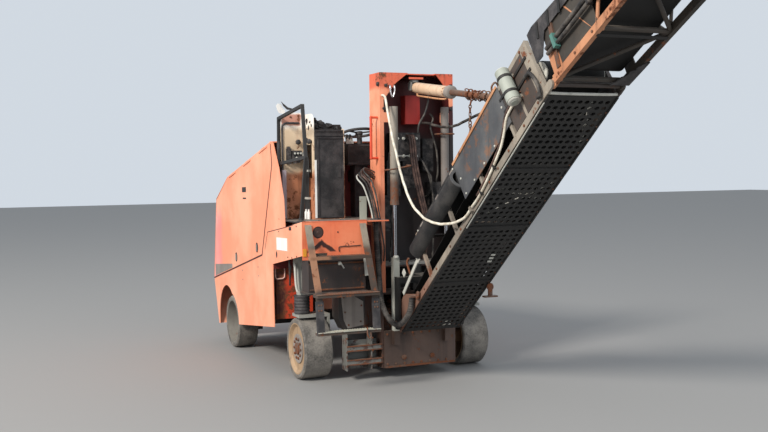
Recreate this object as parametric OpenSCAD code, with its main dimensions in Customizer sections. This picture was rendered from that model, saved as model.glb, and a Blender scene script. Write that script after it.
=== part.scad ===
// Compact four-wheeled cold planer with a rear-loading, slewing and folding discharge conveyor.
// X points to the machine's right, Y to its nose, Z up. Millimetres.

/* [Wheels] */
// Outside diameter of the solid rubber tyres
wheel_d = 620; // [560:5:660]
// Width of a rear tyre
rear_tyre_w = 300; // [240:5:320]
// Width of a front tyre
front_tyre_w = 240; // [200:5:250]
// Rim diameter under the tyre
rim_d = 524; // [480:2:540]
// Distance over the outer faces of the rear tyres
rear_track = 2070; // [2040:5:2140]
// Distance between the rear and front axles
wheelbase = 2150; // [2110:5:2220]
// Distance from a front tyre's outer face to its king pin
kingpin_inset = 270; // [262:1:280]

/* [Body] */
// Width over the side panels
body_w = 1820; // [1790:5:1880]
// How far the body's middle lies left of the middle of the rear wheels
body_offset = 240; // [225:5:255]
// Thickness of the body panels
panel_t = 8; // [5:1:10]
// Nose, ahead of the rear axle
nose_y = 3000; // [2980:5:3100]
// Height of the seam between hood and skirt at the nose
seam_nose_z = 765; // [740:5:800]
// Height of that seam at its rear end
seam_rear_z = 1222; // [1200:5:1240]
// Height of the hood at the operator's end
hood_top_z = 2430; // [2350:5:2520]
// Height of the hood's brow
brow_z = 2056; // [1980:5:2120]
// Height of the shoulder above the radiator grille
shoulder_z = 1780; // [1720:5:1840]
// Lowest point of the skirt at the nose
skirt_nose_z = 205; // [180:5:240]
// Lowest point of the skirt at its rear end
skirt_rear_z = 491; // [450:5:520]
// Gap round the hood's doors
door_gap = 6; // [4:1:10]

/* [Deck] */
// Height of the operator's floor
deck_z = 1628; // [1620:2:1660]
// Rear edge of the deck, behind the rear axle
deck_rear = 616; // [600:2:640]
// Width of the deck's rear panel
deck_panel_w = 666; // [640:2:700]
// Depth of the deck's rear panel
deck_panel_h = 362; // [340:2:380]
// Width of the ladder over its stringers
ladder_w = 628; // [580:2:650]

/* [Planer] */
// Middle of the drum, mast and conveyor, right of the middle of the wheels
line_x = 170; // [165:1:175]
// Outside width of the drum housing
housing_w = 830; // [826:2:834]
// Radius over the tips of the cutting tools
drum_tip_r = 350; // [335:1:355]
// Radius of the drum's core
drum_core_r = 262; // [240:2:280]
// Height of the drum's axis when the machine is raised for driving
drum_z = 440; // [430:2:470]
// Number of cutting tools
tool_count = 42; // [24:2:60]

/* [Mast] */
// Outside width of the mast
mast_w = 820; // [816:2:824]
// Depth of the mast
mast_depth = 270; // [250:5:280]
// Height of the mast's top
mast_top = 3100; // [3060:5:3180]
// Thickness of the mast's plates
mast_t = 12; // [8:1:16]
// Outside radius of the two hoist barrels
barrel_r = 42; // [34:1:44]

/* [Conveyor] */
// Outside width of the conveyor frame
conv_w = 650; // [630:2:654]
// Length of the lower section from its tail to the fold hinge
lower_len = 3540; // [3440:10:3700]
// Length of the upper section from the fold hinge
upper_len = 2400; // [2300:10:2500]
// Rise of the lower section in degrees
lower_rise = 38.5; // [36:0.5:40]
// Rise of the upper section in degrees
upper_rise = 30.3; // [29.3:0.5:32.3]
// Height of the bottom chord's tail end
tail_z = 505; // [490:5:530]
// Depth of the lower section over its chords
lower_depth = 540; // [500:5:560]
// Depth of the upper section over its chords
upper_depth = 460; // [420:5:480]
// Size of the chords across the conveyor
chord_w = 40; // [30:1:50]
// Size of the chords square to the belt
chord_h = 60; // [50:1:64]
// Width of the belt
belt_w = 500; // [440:5:520]
// Outside radius of the luffing barrel
luff_barrel_r = 55; // [48:1:60]

/* [Hidden] */
$fn = 48;

// Clearances: a seat between fixed pieces, a running shaft in its bore, and moving pieces side by side
seat = 0.3;
run = 0.5;
side_gap = 5;

wheel_r = wheel_d / 2;
rim_r = rim_d / 2;
rim_wall = 12;
left_x = -body_offset - body_w / 2;
right_x = -body_offset + body_w / 2;
inner_l = left_x + panel_t;
inner_r = right_x - panel_t;
front_wheel_inset = 10;

// Body outline as seen from the left, in Y and Z
hood_rear_y = 390;
roof_rear_y = 300;
brow_y = 2240;
shoulder_y = 2820;
seam_rear_y = 770;
skirt_nose_y = nose_y - 220;
skirt_rear_y = 357;
cheek_front_y = 521;
cheek_front_z = 1475;
arch_r = 400;
arch_y = wheelbase + 190;
arch_z = 330;
wheel_gap = 35;

// Frame rails
rail_w = 120;
rail_h = 200;
rail_z = 900;
rail_l_x = left_x + 450;
rail_r_x = inner_r;
rail_r_w = 72;
rail_rear = -380;
rail_front = nose_y - 160;
housing_top = rail_z - 20;

// Engine and hydraulic tank
engine_rear_y = 720;
engine_l = 1180;
engine_h = 750;
tank_rear_y = 420;
tank_l = 1220;
tank_z = 560;

// Operator's place
cabinet_l = left_x + 306;
cabinet_w = 330;
cabinet_z = 2545;
cabinet_peak_z = 2700;
cabinet_rear_y = -100;
console_l = cabinet_l + cabinet_w + 124;
console_w = 330;
wheel_x = console_l + console_w / 2;
wheel_y = 190;
column_z = 2390;

// Front axle
axle_h = 120;
axle_d = 120;
fork_t = 30;
fork_gap = 85;
kingpin_r = 20;
king_l_x = left_x + front_wheel_inset + kingpin_inset;
king_r_x = right_x - front_wheel_inset - kingpin_inset;

// Rear legs
leg_inset = 75;
leg_l_x = -rear_track / 2 + leg_inset;
leg_r_x = rear_track / 2 - leg_inset;
leg_r = 55;
boot_r = 75;
sleeve_r = 85;
sleeve_bottom = 1150;
yoke_z = wheel_d + 15;
yoke_t = 30;
yoke_plate_t = 25;
stub_r = 35;

// Drum housing and scraper
housing_l = line_x - housing_w / 2;
housing_r = line_x + housing_w / 2;
housing_t = 20;
housing_rear = -400;
housing_front = 445;
drum_y = 20;
drum_shaft_r = 60;
scraper_y = housing_rear - side_gap;
scraper_t = 20;
hoist_x = 285;
hoist_y = scraper_y - scraper_t - 32;
hoist_tube = 64;
hoist_rod_r = 20;

// Mast and slewing post
mast_rear = -400;
mast_l = line_x - mast_w / 2;
mast_r = line_x + mast_w / 2;
slew_y = -330;
king_post_r = 30;
king_tube_r = 60;
king_top = 1150;
neck_z = 1000;
neck_t = 60;
bar_front = slew_y - 305;
bar_depth = 70;
yoke_cheek_t = 27;
yoke_gap = 13;

// Hood doors' hinges: knuckles on a line just under the roof's edge
roof_t = panel_t + 4;
knuckle_r = 9;
hinge_drop = 12;
hinge_places = [230, 900, 1570];
hood_slope = atan2(hood_top_z - brow_z, brow_y - hood_rear_y);

// Conveyor: s runs along a section from its lower end, n square to it
tail_y = -650;
luff_y = -650;
luff_z = 600;
luff_pin_r = 25;
pulley_r = 90;
belt_t = 8;
fold_n = chord_h / 2;
fold_pin_r = 20;
fold_gap = 60;
lug_t = 18;
fold_y = tail_y - lower_len * cos(lower_rise) + fold_n * sin(lower_rise);
fold_z = tail_z + lower_len * sin(lower_rise) + fold_n * cos(lower_rise);

// Drilled guards under the lower section
hole_r = 22.5;
hole_pitch = 66;
hole_pitch_w = 62;

// Luffing cylinder between the mast's top and the conveyor's frame
stay_y = slew_y;
stay_z = mast_top - 140;
eye_s = 2482;
eye_n = 871;
eye_y = tail_y - eye_s * cos(lower_rise) + eye_n * sin(lower_rise);
eye_z = tail_z + eye_s * sin(lower_rise) + eye_n * cos(lower_rise);
stay_len = norm([eye_y - stay_y, eye_z - stay_z]);
stay_tilt = atan2(stay_z - eye_z, stay_y - eye_y);
luff_rod_r = 30;
barrel_len = 860;
eye_r = 55;
eye_bore_r = 32;
eye_pin_r = 20;

// Wrapped hose from under the deck to the conveyor's tail, hanging in a wide loop
tail_hose_r = 27;
tail_hose_path = [
    [-330, -480, 1616], [-330, -480, 1500], [-326, -480, 1380], [-318, -480, 1260],
    [-310, -480, 1140], [-300, -480, 1010], [-290, -480, 870], [-280, -500, 770], [-265, -560, 685],
    [-250, -645, 625], [-240, -745, 605], [-230, -845, 625], [-215, -930, 685], [-200, -990, 770],
    [-190, -1010, 870], [-190, -1010, 900]];

// Pale cable from the mast's left post to the conveyor's bottom chord
pale_cable_r = 12;
pale_cable_path = [
    [-215, -401, 2868], [-215, -440, 2866], [-215, -478, 2846], [-220, -508, 2810],
    [-220, -530, 2755], [-220, -555, 2685], [-220, -580, 2625], [-220, -605, 2565],
    [-220, -635, 2505], [-225, -665, 2450], [-225, -695, 2390], [-225, -730, 2335],
    [-225, -765, 2275], [-230, -800, 2220], [-230, -835, 2165], [-235, -870, 2115],
    [-235, -910, 2060], [-240, -950, 2010], [-240, -995, 1960], [-245, -1040, 1910],
    [-250, -1090, 1870], [-250, -1140, 1825], [-255, -1195, 1790], [-255, -1250, 1755],
    [-255, -1310, 1730], [-255, -1370, 1705], [-255, -1430, 1680], [-255, -1495, 1665],
    [-255, -1560, 1655], [-255, -1625, 1645], [-250, -1690, 1640], [-240, -1755, 1635],
    [-235, -1820, 1640], [-220, -1885, 1645], [-205, -1950, 1655], [-190, -2015, 1675],
    [-175, -2075, 1700], [-170, -2130, 1734], [-170, -2182, 1775]];

// Pressure hose from the mast's front wall to the luffing cylinder's rod
sag_hose_r = 13;
sag_hose_path = [
    [300, -142, 2605], [300, -215, 2605], [300, -300, 2600], [300, -375, 2595], [295, -455, 2585],
    [285, -530, 2570], [280, -610, 2560], [270, -685, 2550], [260, -765, 2540], [255, -840, 2535],
    [245, -920, 2530], [235, -1000, 2530], [230, -1075, 2530], [220, -1155, 2535],
    [215, -1230, 2540], [210, -1310, 2555], [205, -1385, 2565], [200, -1465, 2578],
    [195, -1540, 2590], [185, -1620, 2600], [180, -1700, 2610], [175, -1776, 2618],
    [172, -1828, 2633], [170, -1866, 2671], [170, -1880, 2722]];

// The frame's origin lies on the ground under the middle of the whole machine
head_y = fold_y - upper_len * cos(upper_rise);
head_n = 240;
head_s = upper_len - 90;
rearmost = head_y - fold_n * sin(upper_rise);
origin_x = -(left_x + rear_track / 2) / 2;
origin_y = -(nose_y + rearmost) / 2;

module place() {
    translate([origin_x, origin_y, 0]) children();
}

// A slab with its outline drawn in Y and Z, from x0 towards +X
module side_slab(x0, t) {
    translate([x0, 0, 0]) rotate([90, 0, 90]) linear_extrude(t) children();
}

// The left (0) or right (1) hinge line: Y runs down along it from its rear end, Z square to the roof
module hood_side(right) {
    x = right == 1 ? right_x : left_x;
    translate([x, hood_rear_y, hood_top_z - roof_t - seat - hinge_drop]) mirror([right, 0, 0])
        rotate([-hood_slope, 0, 0]) children();
}

// A round bar on a hinge line
module hinge_bar(t, len, r) {
    translate([-2, t, 0]) rotate([-90, 0, 0]) cylinder(h = len, r = r);
}

// A box given by its corners
module block(lo, hi) {
    translate(lo) cube([hi[0] - lo[0], hi[1] - lo[1], hi[2] - lo[2]]);
}

// A strip of even width between two points of a drawing, with round ends
module strip(a, b, w) {
    d = b - a;
    translate(a) rotate(atan2(d[1], d[0])) {
        circle(r = w / 2);
        translate([0, -w / 2]) square([norm(d), w]);
        translate([norm(d), 0]) circle(r = w / 2);
    }
}

// A round bar from a to b
module bar(a, b, r) {
    d = b - a;
    len = norm(d);
    translate(a) rotate([0, acos(d[2] / len), atan2(d[1], d[0])]) cylinder(h = len, r = r);
}

// A hose along points in the machine's own axes, with eight flat sides; no stretch of it runs along side
module hose(p, r, side) {
    last = len(p) - 1;
    ring = [for (i = [0 : last])
        let (a = p[max(i - 1, 0)], b = p[min(i + 1, last)], t = (b - a) / norm(b - a),
            c = cross(t, side), u = c / norm(c), v = cross(u, t))
        for (k = [0 : 7]) p[i] + r * (cos(45 * k) * u + sin(45 * k) * v)];
    wall = [for (i = [0 : last - 1]) for (k = [0 : 7])
        [8 * i + k, 8 * i + (k + 1) % 8, 8 * i + 8 + (k + 1) % 8, 8 * i + 8 + k]];
    polyhedron(ring, concat(wall, [[for (k = [7 : -1 : 0]) k], [for (k = [0 : 7]) 8 * last + k]]));
}

// A cylinder along X, centred on x
module xcyl(x, y, z, r, w) {
    translate([x - w / 2, y, z]) rotate([0, 90, 0]) cylinder(h = w, r = r);
}

// The places of the two conveyor sections: s along, n square to it, x from the conveyor's middle
module lower_place() {
    translate([line_x, tail_y, tail_z]) rotate([0, 0, -90]) rotate([0, -lower_rise, 0]) children();
}

module upper_place() {
    translate([line_x, fold_y, fold_z]) rotate([0, 0, -90]) rotate([0, -upper_rise, 0])
        translate([0, 0, -fold_n]) children();
}

// A box in a section's own axes: s, then across, then n
module cbox(s, w, n) {
    translate([s[0], w[0], n[0]]) cube([s[1] - s[0], w[1] - w[0], n[1] - n[0]]);
}

// A cylinder across a section
module croll(s, n, r, w) {
    translate([s, w / 2, n]) rotate([90, 0, 0]) cylinder(h = w, r = r);
}

module both_sides() {
    children();
    mirror([0, 1, 0]) children();
}

// Main frame: two rails, cross members and the pedestal of the front axle
module main_frame() {
    cross = [[-60, 60], [330, 400], [1640, 1720], [rail_front - 80, rail_front]];
    outrigger = [[560, 640], [rail_front - 80, rail_front]];
    color("dimgray") place() {
        block([rail_l_x, rail_rear, rail_z], [rail_l_x + rail_w, rail_front, rail_z + rail_h]);
        block([rail_r_x - rail_r_w, rail_rear, rail_z], [rail_r_x, rail_front, rail_z + rail_h]);
        for (c = cross) {
            low = c[1] < 500 ? housing_top : rail_z;
            block([rail_l_x, c[0], low], [rail_r_x, c[1], rail_z + rail_h]);
        }
        for (c = outrigger) {
            block([inner_l, c[0], rail_z + 40], [rail_l_x + 10, c[1], rail_z + 120]);
        }
        block([-body_offset - 150, wheelbase - 120, wheel_r + axle_h / 2],
            [-body_offset + 150, wheelbase + 120, rail_z + 20]);
        block([rail_l_x, wheelbase - 60, rail_z], [rail_r_x, wheelbase + 60, rail_z + 100]);
    }
}

// The lower outline of a skirt, with its wheel arch cut out
module skirt_outline(rear_y, rear_z, top_rear) {
    slope = (skirt_rear_z - skirt_nose_z) / (skirt_nose_y - skirt_rear_y);
    difference() {
        polygon(concat([[nose_y - panel_t, seam_nose_z], [skirt_nose_y - panel_t, skirt_nose_z],
            [rear_y, skirt_nose_z + slope * (skirt_nose_y - rear_y)]], top_rear));
        translate([arch_y, arch_z]) circle(r = arch_r);
        translate([wheelbase, wheel_r]) circle(r = wheel_r + wheel_gap);
        translate([wheelbase - wheel_r - wheel_gap, 0])
            square([arch_y + arch_r - wheelbase + wheel_r + wheel_gap, wheel_r]);
    }
}

// Left flank in one sheet: skirt, deck cheek and the pillar behind the hood's door
module left_flank() {
    color("orangered") place() side_slab(left_x, panel_t) union() {
        skirt_outline(skirt_rear_y, skirt_rear_z, [[skirt_rear_y + 22, 1151], [cheek_front_y, cheek_front_z],
            [seam_rear_y, seam_rear_z]]);
        polygon([[skirt_rear_y + 22, 1151], [-deck_rear + panel_t + seat, deck_z - 320],
            [-deck_rear + panel_t + seat, deck_z + 5], [-72, 1558], [-40, 1830], [112, 2153],
            [roof_rear_y, hood_top_z - roof_t - seat], [hood_rear_y - door_gap, hood_top_z - roof_t - seat],
            [350, 2189], [seam_rear_y - door_gap, seam_rear_z + door_gap / 2], [seam_rear_y, seam_rear_z]]);
    }
}

module right_flank() {
    color("orangered") place() side_slab(inner_r, panel_t) union() {
        skirt_outline(480, skirt_rear_z, [[480, seam_rear_z], [seam_rear_y, seam_rear_z]]);
        polygon([[480, seam_rear_z - 50], [240, seam_rear_z - 50],
            [roof_rear_y, hood_top_z - roof_t - seat], [hood_rear_y - door_gap, hood_top_z - roof_t - seat],
            [350, 2189], [seam_rear_y - door_gap, seam_rear_z + door_gap / 2], [seam_rear_y, seam_rear_z]]);
    }
}

// Lower nose and radiator grille, one sheet across the machine
module nose() {
    slot_z = [for (i = [0 : 8]) 940 + i * 85];
    color("orangered") place() difference() {
        side_slab(left_x, body_w) polygon([[shoulder_y, shoulder_z - seat], [nose_y - 10, seam_nose_z + 90],
            [nose_y, seam_nose_z], [skirt_nose_y, skirt_nose_z], [skirt_nose_y - panel_t, skirt_nose_z],
            [nose_y - panel_t, seam_nose_z], [nose_y - 10 - panel_t, seam_nose_z + 90],
            [shoulder_y - panel_t, shoulder_z - seat]]);
        for (z = slot_z) {
            block([left_x + 260, shoulder_y - 100, z], [right_x - 260, nose_y + 100, z + 45]);
        }
    }
}

// Hood roof: the sloping top and brow, with the fixed knuckles and pins of the doors' hinges
module hood_roof() {
    color("orangered") place() {
        side_slab(left_x, body_w) polygon([[roof_rear_y, hood_top_z],
            [hood_rear_y, hood_top_z], [brow_y, brow_z], [shoulder_y, shoulder_z],
            [shoulder_y - panel_t, shoulder_z], [brow_y - 2, brow_z - roof_t + 2],
            [hood_rear_y, hood_top_z - roof_t], [roof_rear_y, hood_top_z - roof_t]]);
        for (m = [0, 1]) {
            hood_side(m) for (t = hinge_places) {
                hinge_bar(t, 100, knuckle_r);
                hinge_bar(t - 110, 220, knuckle_r / 2);
                translate([-knuckle_r, t, 0]) cube([knuckle_r - 2, 100, hinge_drop + 6]);
                translate([-knuckle_r, t, hinge_drop + 4]) cube([knuckle_r + 4, 100, 4]);
            }
        }
    }
}

module bulkhead() {
    color("firebrick") place()
        block([inner_l, hood_rear_y - 20, rail_z + rail_h], [inner_r, hood_rear_y - 12, hood_top_z - roof_t]);
}

module engine() {
    color("dimgray") place() block([rail_l_x, engine_rear_y, rail_z + rail_h],
        [rail_r_x - 200, engine_rear_y + engine_l, rail_z + rail_h + engine_h]);
}

// Hydraulic tank hung on the left rail, seen through the opening behind the skirt
module side_tank() {
    color("firebrick") place() difference() {
        block([inner_l + 40, tank_rear_y, tank_z], [rail_l_x, tank_rear_y + tank_l, rail_z + rail_h + 20]);
        block([inner_l, tank_rear_y + 135, rail_z + 35],
            [rail_l_x + 1, tank_rear_y + 225, rail_z + rail_h + 21]);
    }
}

// Operator's deck: floor, rear panel with its round hole and slot, inner end plate, feet on the rails
module deck() {
    panel_l = left_x;
    panel_r = left_x + deck_panel_w;
    low = deck_z - deck_panel_h;
    feet = [[rail_rear, rail_rear + 40], [280, 320]];
    color("orangered") place() {
        block([inner_l, -deck_rear + panel_t, deck_z - 12], [mast_l - side_gap, hood_rear_y - 20, deck_z]);
        difference() {
            block([panel_l, -deck_rear, low], [panel_r, -deck_rear + panel_t, deck_z + 5]);
            translate([panel_l + 162, -deck_rear + 20, deck_z - 100]) rotate([90, 0, 0])
                cylinder(h = 40, r = 58);
            block([panel_l + 120, -deck_rear - 5, low + 18], [panel_l + 250, -deck_rear + 20, low + 62]);
        }
        block([panel_r - panel_t, -deck_rear + panel_t, low], [panel_r, rail_rear, deck_z - 12]);
        for (f = feet) {
            block([rail_l_x, f[0], rail_z + rail_h], [rail_l_x + rail_w, f[1], deck_z - 12]);
            block([rail_l_x, f[0], deck_z - 60], [mast_l - side_gap, f[1], deck_z - 12]);
        }
    }
}

// Step box under the deck's rear panel, with its worn step edges
module step_box() {
    l = left_x + 62;
    r = left_x + deck_panel_w - 18;
    top = deck_z - deck_panel_h - seat;
    color("saddlebrown") place() {
        block([l, -deck_rear + 8, top - 320], [r, rail_rear - 20, top]);
        block([l - 20, -deck_rear - 30, top - 14], [r + 10, -deck_rear + 8, top]);
        block([l - 20, -deck_rear - 30, top - 334], [r + 10, rail_rear - 20, top - 320]);
    }
}

// Boarding ladder: wide flat stringers that lean back, a hanging lower part and three treads
module ladder() {
    l = left_x + 24;
    r = l + ladder_w;
    stringer_w = 64;
    foot_y = -deck_rear - 335;
    // y, z down the stringer
    p = [[-deck_rear - 6 - seat, deck_z - 30], [-deck_rear - 146, 1290], [foot_y + 35, 950], [foot_y, 600]];
    // y, z, depth, height of each tread
    step = [[-deck_rear - 130, 1290, 60, 30], [foot_y + 50, 950, 130, 26], [foot_y + 15, 600, 90, 26]];
    color("gray") place() {
        for (x = [l, r - stringer_w]) {
            side_slab(x, stringer_w) for (i = [0 : 2]) {
                strip(p[i], p[i + 1], 12);
            }
        }
        for (t = step) {
            block([l, t[0] - t[2] / 2, t[1] - t[3] / 2], [r, t[0] + t[2] / 2, t[1] + t[3] / 2]);
        }
    }
}

// Tall air cabinet beside the operator: an open-topped shell whose left wall stands higher
module cabinet() {
    y1 = roof_rear_y - 1;
    side_r = 90;
    color("ivory") place() {
        difference() {
            block([cabinet_l, cabinet_rear_y, deck_z],
                [cabinet_l + cabinet_w, y1, cabinet_z]);
            block([cabinet_l + 8, cabinet_rear_y - 1, deck_z + 8],
                [cabinet_l + cabinet_w - 8, y1 - 8, cabinet_z + 1]);
            block([cabinet_l - 1, cabinet_rear_y + 60, deck_z + 420],
                [cabinet_l + 9, y1 - 120, deck_z + 760]);
        }
        side_slab(cabinet_l, 8) union() {
            translate([cabinet_rear_y, cabinet_z - 1])
                square([y1 - cabinet_rear_y, cabinet_peak_z - cabinet_z - side_r]);
            translate([cabinet_rear_y + side_r, cabinet_z - 1])
                square([y1 - cabinet_rear_y - side_r, cabinet_peak_z - cabinet_z + 1]);
            translate([cabinet_rear_y + side_r, cabinet_peak_z - side_r]) circle(r = side_r);
        }
        intake_box(y1);
    }
}

// Intake box between the cabinet and the left flank, with a rounded outer shoulder
module intake_box(front) {
    l = left_x + 55;
    w = cabinet_l - l + 1;
    r = 100;
    translate([l, front, deck_z]) rotate([90, 0, 0]) linear_extrude(front - 190) union() {
        square([w, cabinet_peak_z + 20 - deck_z - r]);
        translate([r, 0]) square([w - r, cabinet_peak_z + 20 - deck_z]);
        translate([r, cabinet_peak_z + 20 - deck_z - r]) circle(r = r);
    }
}

// Rear door of the cabinet, set inside its shell, and the louvre rail above it
module cabinet_door() {
    l = cabinet_l + 8 + seat;
    r = cabinet_l + cabinet_w - 8 - seat;
    color("black") place() {
        block([l, cabinet_rear_y + 2, deck_z + 8 + seat], [r, cabinet_rear_y + 12, cabinet_z - 75]);
        block([l, cabinet_rear_y - 6, cabinet_z - 75], [r, cabinet_rear_y + 30, cabinet_z - 45]);
        block([l, cabinet_rear_y + 2, cabinet_z - 45], [r, cabinet_rear_y + 12, cabinet_z - 12]);
        block([r - 60, cabinet_rear_y - 8, 2050], [r - 35, cabinet_rear_y + 3, 2150]);
    }
}

// Foam block of the cabinet's top, whose skin is gone
module cabinet_foam() {
    l = cabinet_l + 8 + seat;
    w = cabinet_w - 16 - 2 * seat;
    h = cabinet_peak_z - cabinet_z - 10;
    r = 90;
    color("black") place() translate([l, roof_rear_y - 9 - seat, cabinet_z - 60]) rotate([90, 0, 0])
        linear_extrude(roof_rear_y - 9 - seat - cabinet_rear_y - 34) union() {
            square([w, h + 60 - r]);
            square([w - r, h + 60]);
            translate([w - r, h + 60 - r]) circle(r = r);
        }
}

// Guard hoop on the left edge of the deck, of square tube with a cross bar
module guard_hoop() {
    w = 30;
    // y, z of the hoop's corners
    p = [[230, 2195], [215, 2660], [-560, 2745], [-640, 2250], [-470, deck_z + w / 2]];
    color("black") place() side_slab(left_x + 25, w) {
        for (i = [0 : 3]) {
            strip(p[i], p[i + 1], w);
        }
        strip(p[0], p[3], w);
        strip(p[0], [130, deck_z + w / 2], w);
    }
}

// Steering console on a pedestal against the bulkhead
module console() {
    x0 = console_l;
    x1 = console_l + console_w;
    color("black") place() {
        low = column_z - 215;
        block([x0, wheel_y - 70, low], [x1, roof_rear_y - 1, column_z + 10]);
        block([x0 + 90, wheel_y - 30, deck_z], [x1 - 90, roof_rear_y - 10, low + 1]);
        block([x0 + 90, roof_rear_y - 50, low - 175], [x1 - 90, hood_rear_y - 20 - seat, low - 55]);
        translate([wheel_x, wheel_y, column_z]) rotate([-12, 0, 0]) cylinder(h = 110, r = 28);
    }
}

module steering_wheel() {
    rim = 175;
    color("black") place() translate([wheel_x, wheel_y, column_z]) rotate([-12, 0, 0])
        translate([0, 0, 110 + seat]) {
            translate([0, 0, 20]) rotate_extrude() translate([rim, 0]) circle(r = 15);
            cylinder(h = 30, r = 40);
            for (a = [90, 210, 330]) {
                rotate([0, 0, a]) translate([0, 0, 18]) rotate([0, 90, 0]) cylinder(h = rim, r = 9);
            }
        }
}

// Mast: two channel posts, a front wall, an open-fronted cap and the swivel pin under it
module mast() {
    flange = 42;
    front = mast_rear + mast_depth;
    color("orangered") place() {
        for (s = [0, 1]) {
            x = s == 0 ? mast_l : mast_r - mast_t;
            f = s == 0 ? mast_l : mast_r - flange;
            block([x, mast_rear, housing_top], [x + mast_t, front, mast_top - mast_t]);
            block([f, mast_rear, housing_top], [f + flange, mast_rear + mast_t, mast_top - mast_t]);
            block([f, front - mast_t, housing_top], [f + flange, front, mast_top - mast_t]);
        }
        block([mast_l, front - mast_t, king_top], [mast_r, front, mast_top - mast_t]);
        difference() {
            block([mast_l, mast_rear, mast_top - mast_t], [mast_r, front, mast_top]);
            block([mast_l + 310, mast_rear - 1, mast_top - mast_t - 1],
                [mast_r - 200, mast_rear + 60, mast_top + 1]);
        }
        // cap ears, slanted towards the opening: side and width
        for (e = [[0, 300], [1, 190]]) {
            translate([line_x, mast_rear + mast_t, mast_top - mast_t]) mirror([e[0], 0, 0]) rotate([90, 0, 0])
                linear_extrude(mast_t) polygon([[-mast_w / 2, 0.5], [-mast_w / 2, -260],
                    [-mast_w / 2 + flange, -260], [-mast_w / 2 + 0.6 * e[1], -90],
                    [-mast_w / 2 + e[1], 0.5]]);
        }
        block([line_x - 80, slew_y - 60, stay_z + 80], [line_x + 80, front, stay_z + 100]);
        translate([line_x, slew_y, stay_z + 52]) cylinder(h = 30, r = 20);
        for (s = [-1, 1]) {
            x = line_x + s * hoist_x;
            block([x - 25, mast_rear - 10, 2600], [x + 25, mast_rear + 1, 2700]);
            block([min(x, line_x + s * (mast_w / 2)), mast_rear - 1, 2600],
                [max(x, line_x + s * (mast_w / 2)), mast_rear + 11, 2700]);
        }
        // handrail on the left post
        bar([mast_l - 75, mast_rear + 60, 2240], [mast_l - 75, mast_rear + 60, 2650], 13);
        for (z = [2240, 2650]) {
            translate([mast_l - 75, mast_rear + 60, z]) sphere(r = 15);
            bar([mast_l - 75, mast_rear + 60, z], [mast_l + 5, mast_rear + 60, z], 12);
        }
    }
}

// Slewing post: the pin of the conveyor's yoke and the shelf that holds its top
module king_post() {
    color("gray") place() {
        translate([line_x, slew_y, housing_top]) cylinder(h = king_top - housing_top + 1, r = king_post_r);
        block([mast_l + mast_t, mast_rear + mast_t + seat, king_top],
            [mast_r - mast_t, mast_rear + mast_depth - mast_t, king_top + 25]);
    }
}

// Barrels of the two scraper hoist cylinders
module hoist_barrels() {
    color("slategray") place() for (s = [-1, 1]) {
        translate([line_x + s * hoist_x, hoist_y, 1770]) difference() {
            union() {
                cylinder(h = 985, r = barrel_r);
                translate([0, 0, -2]) cylinder(h = 40, r = barrel_r + 4);
                block([-20, 0, 830], [20, mast_rear - 10 - hoist_y - seat, 930]);
            }
            translate([0, 0, -5]) cylinder(h = 900, r = hoist_rod_r + run);
        }
    }
}

// Drum housing: side plates bored for the shaft, top, front wall, and two angle-iron steps on its left
module drum_housing() {
    low = 112;
    step_w = 385;
    step_z = [205, 345];
    color("dimgray") place() {
        for (x = [housing_l, housing_r - housing_t]) {
            difference() {
                side_slab(x, housing_t) polygon([[housing_rear, housing_top], [housing_rear, low],
                    [housing_front - 60, low], [housing_front, low + 90], [housing_front, housing_top]]);
                xcyl(x + housing_t / 2, drum_y, drum_z, drum_shaft_r + run, housing_t + 10);
            }
        }
        block([housing_l, housing_rear, housing_top - housing_t], [housing_r, housing_front, housing_top]);
        block([housing_l, housing_front - housing_t, low + 90], [housing_r, housing_front, housing_top]);
        for (z = step_z) {
            block([housing_l - step_w, housing_rear, z], [housing_l, housing_rear + 130, z + 10]);
            block([housing_l - step_w, housing_rear, z - 40], [housing_l, housing_rear + 10, z + 1]);
        }
        block([housing_l - step_w, housing_rear + 120, low], [housing_l, housing_rear + 130, 400]);
        for (x = [housing_l - step_w, housing_l - 120]) {
            block([x, housing_rear, low], [x + 10, housing_rear + 130, 480]);
        }
    }
}

// Casing of the drum's hydraulic drive, hung from the left rail
module drive_casing() {
    color("gray") place() translate([rail_l_x + 10, -150, 0]) rotate([90, 0, 0]) linear_extrude(200)
        polygon([[0, rail_z - seat], [0, 640], [60, 520], [250, 520], [280, 640], [280, rail_z - 30],
            [110, rail_z - 30], [110, rail_z - seat]]);
}

// Sleeves of the two lifting legs, with the brackets that join them to the rails
module leg_sleeves() {
    height = deck_z - 18 - sleeve_bottom;
    color("dimgray") place() {
        for (x = [leg_l_x, leg_r_x]) {
            difference() {
                union() {
                    translate([x, 0, sleeve_bottom]) cylinder(h = height, r = sleeve_r);
                    if (x < 0) {
                        block([x + leg_r + 20, -80, sleeve_bottom], [rail_l_x, 80, deck_z - 128]);
                        block([rail_l_x - 50, -80, rail_z + 60], [rail_l_x, 80, sleeve_bottom + 1]);
                    } else {
                        block([rail_r_x, -80, sleeve_bottom], [x - leg_r - 20, 80, deck_z - 128]);
                        block([rail_r_x, -80, rail_z + 60], [rail_r_x + 50, 80, sleeve_bottom + 1]);
                    }
                }
                translate([x, 0, sleeve_bottom - 5]) cylinder(h = height + 10, r = leg_r + run);
            }
        }
    }
}

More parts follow.
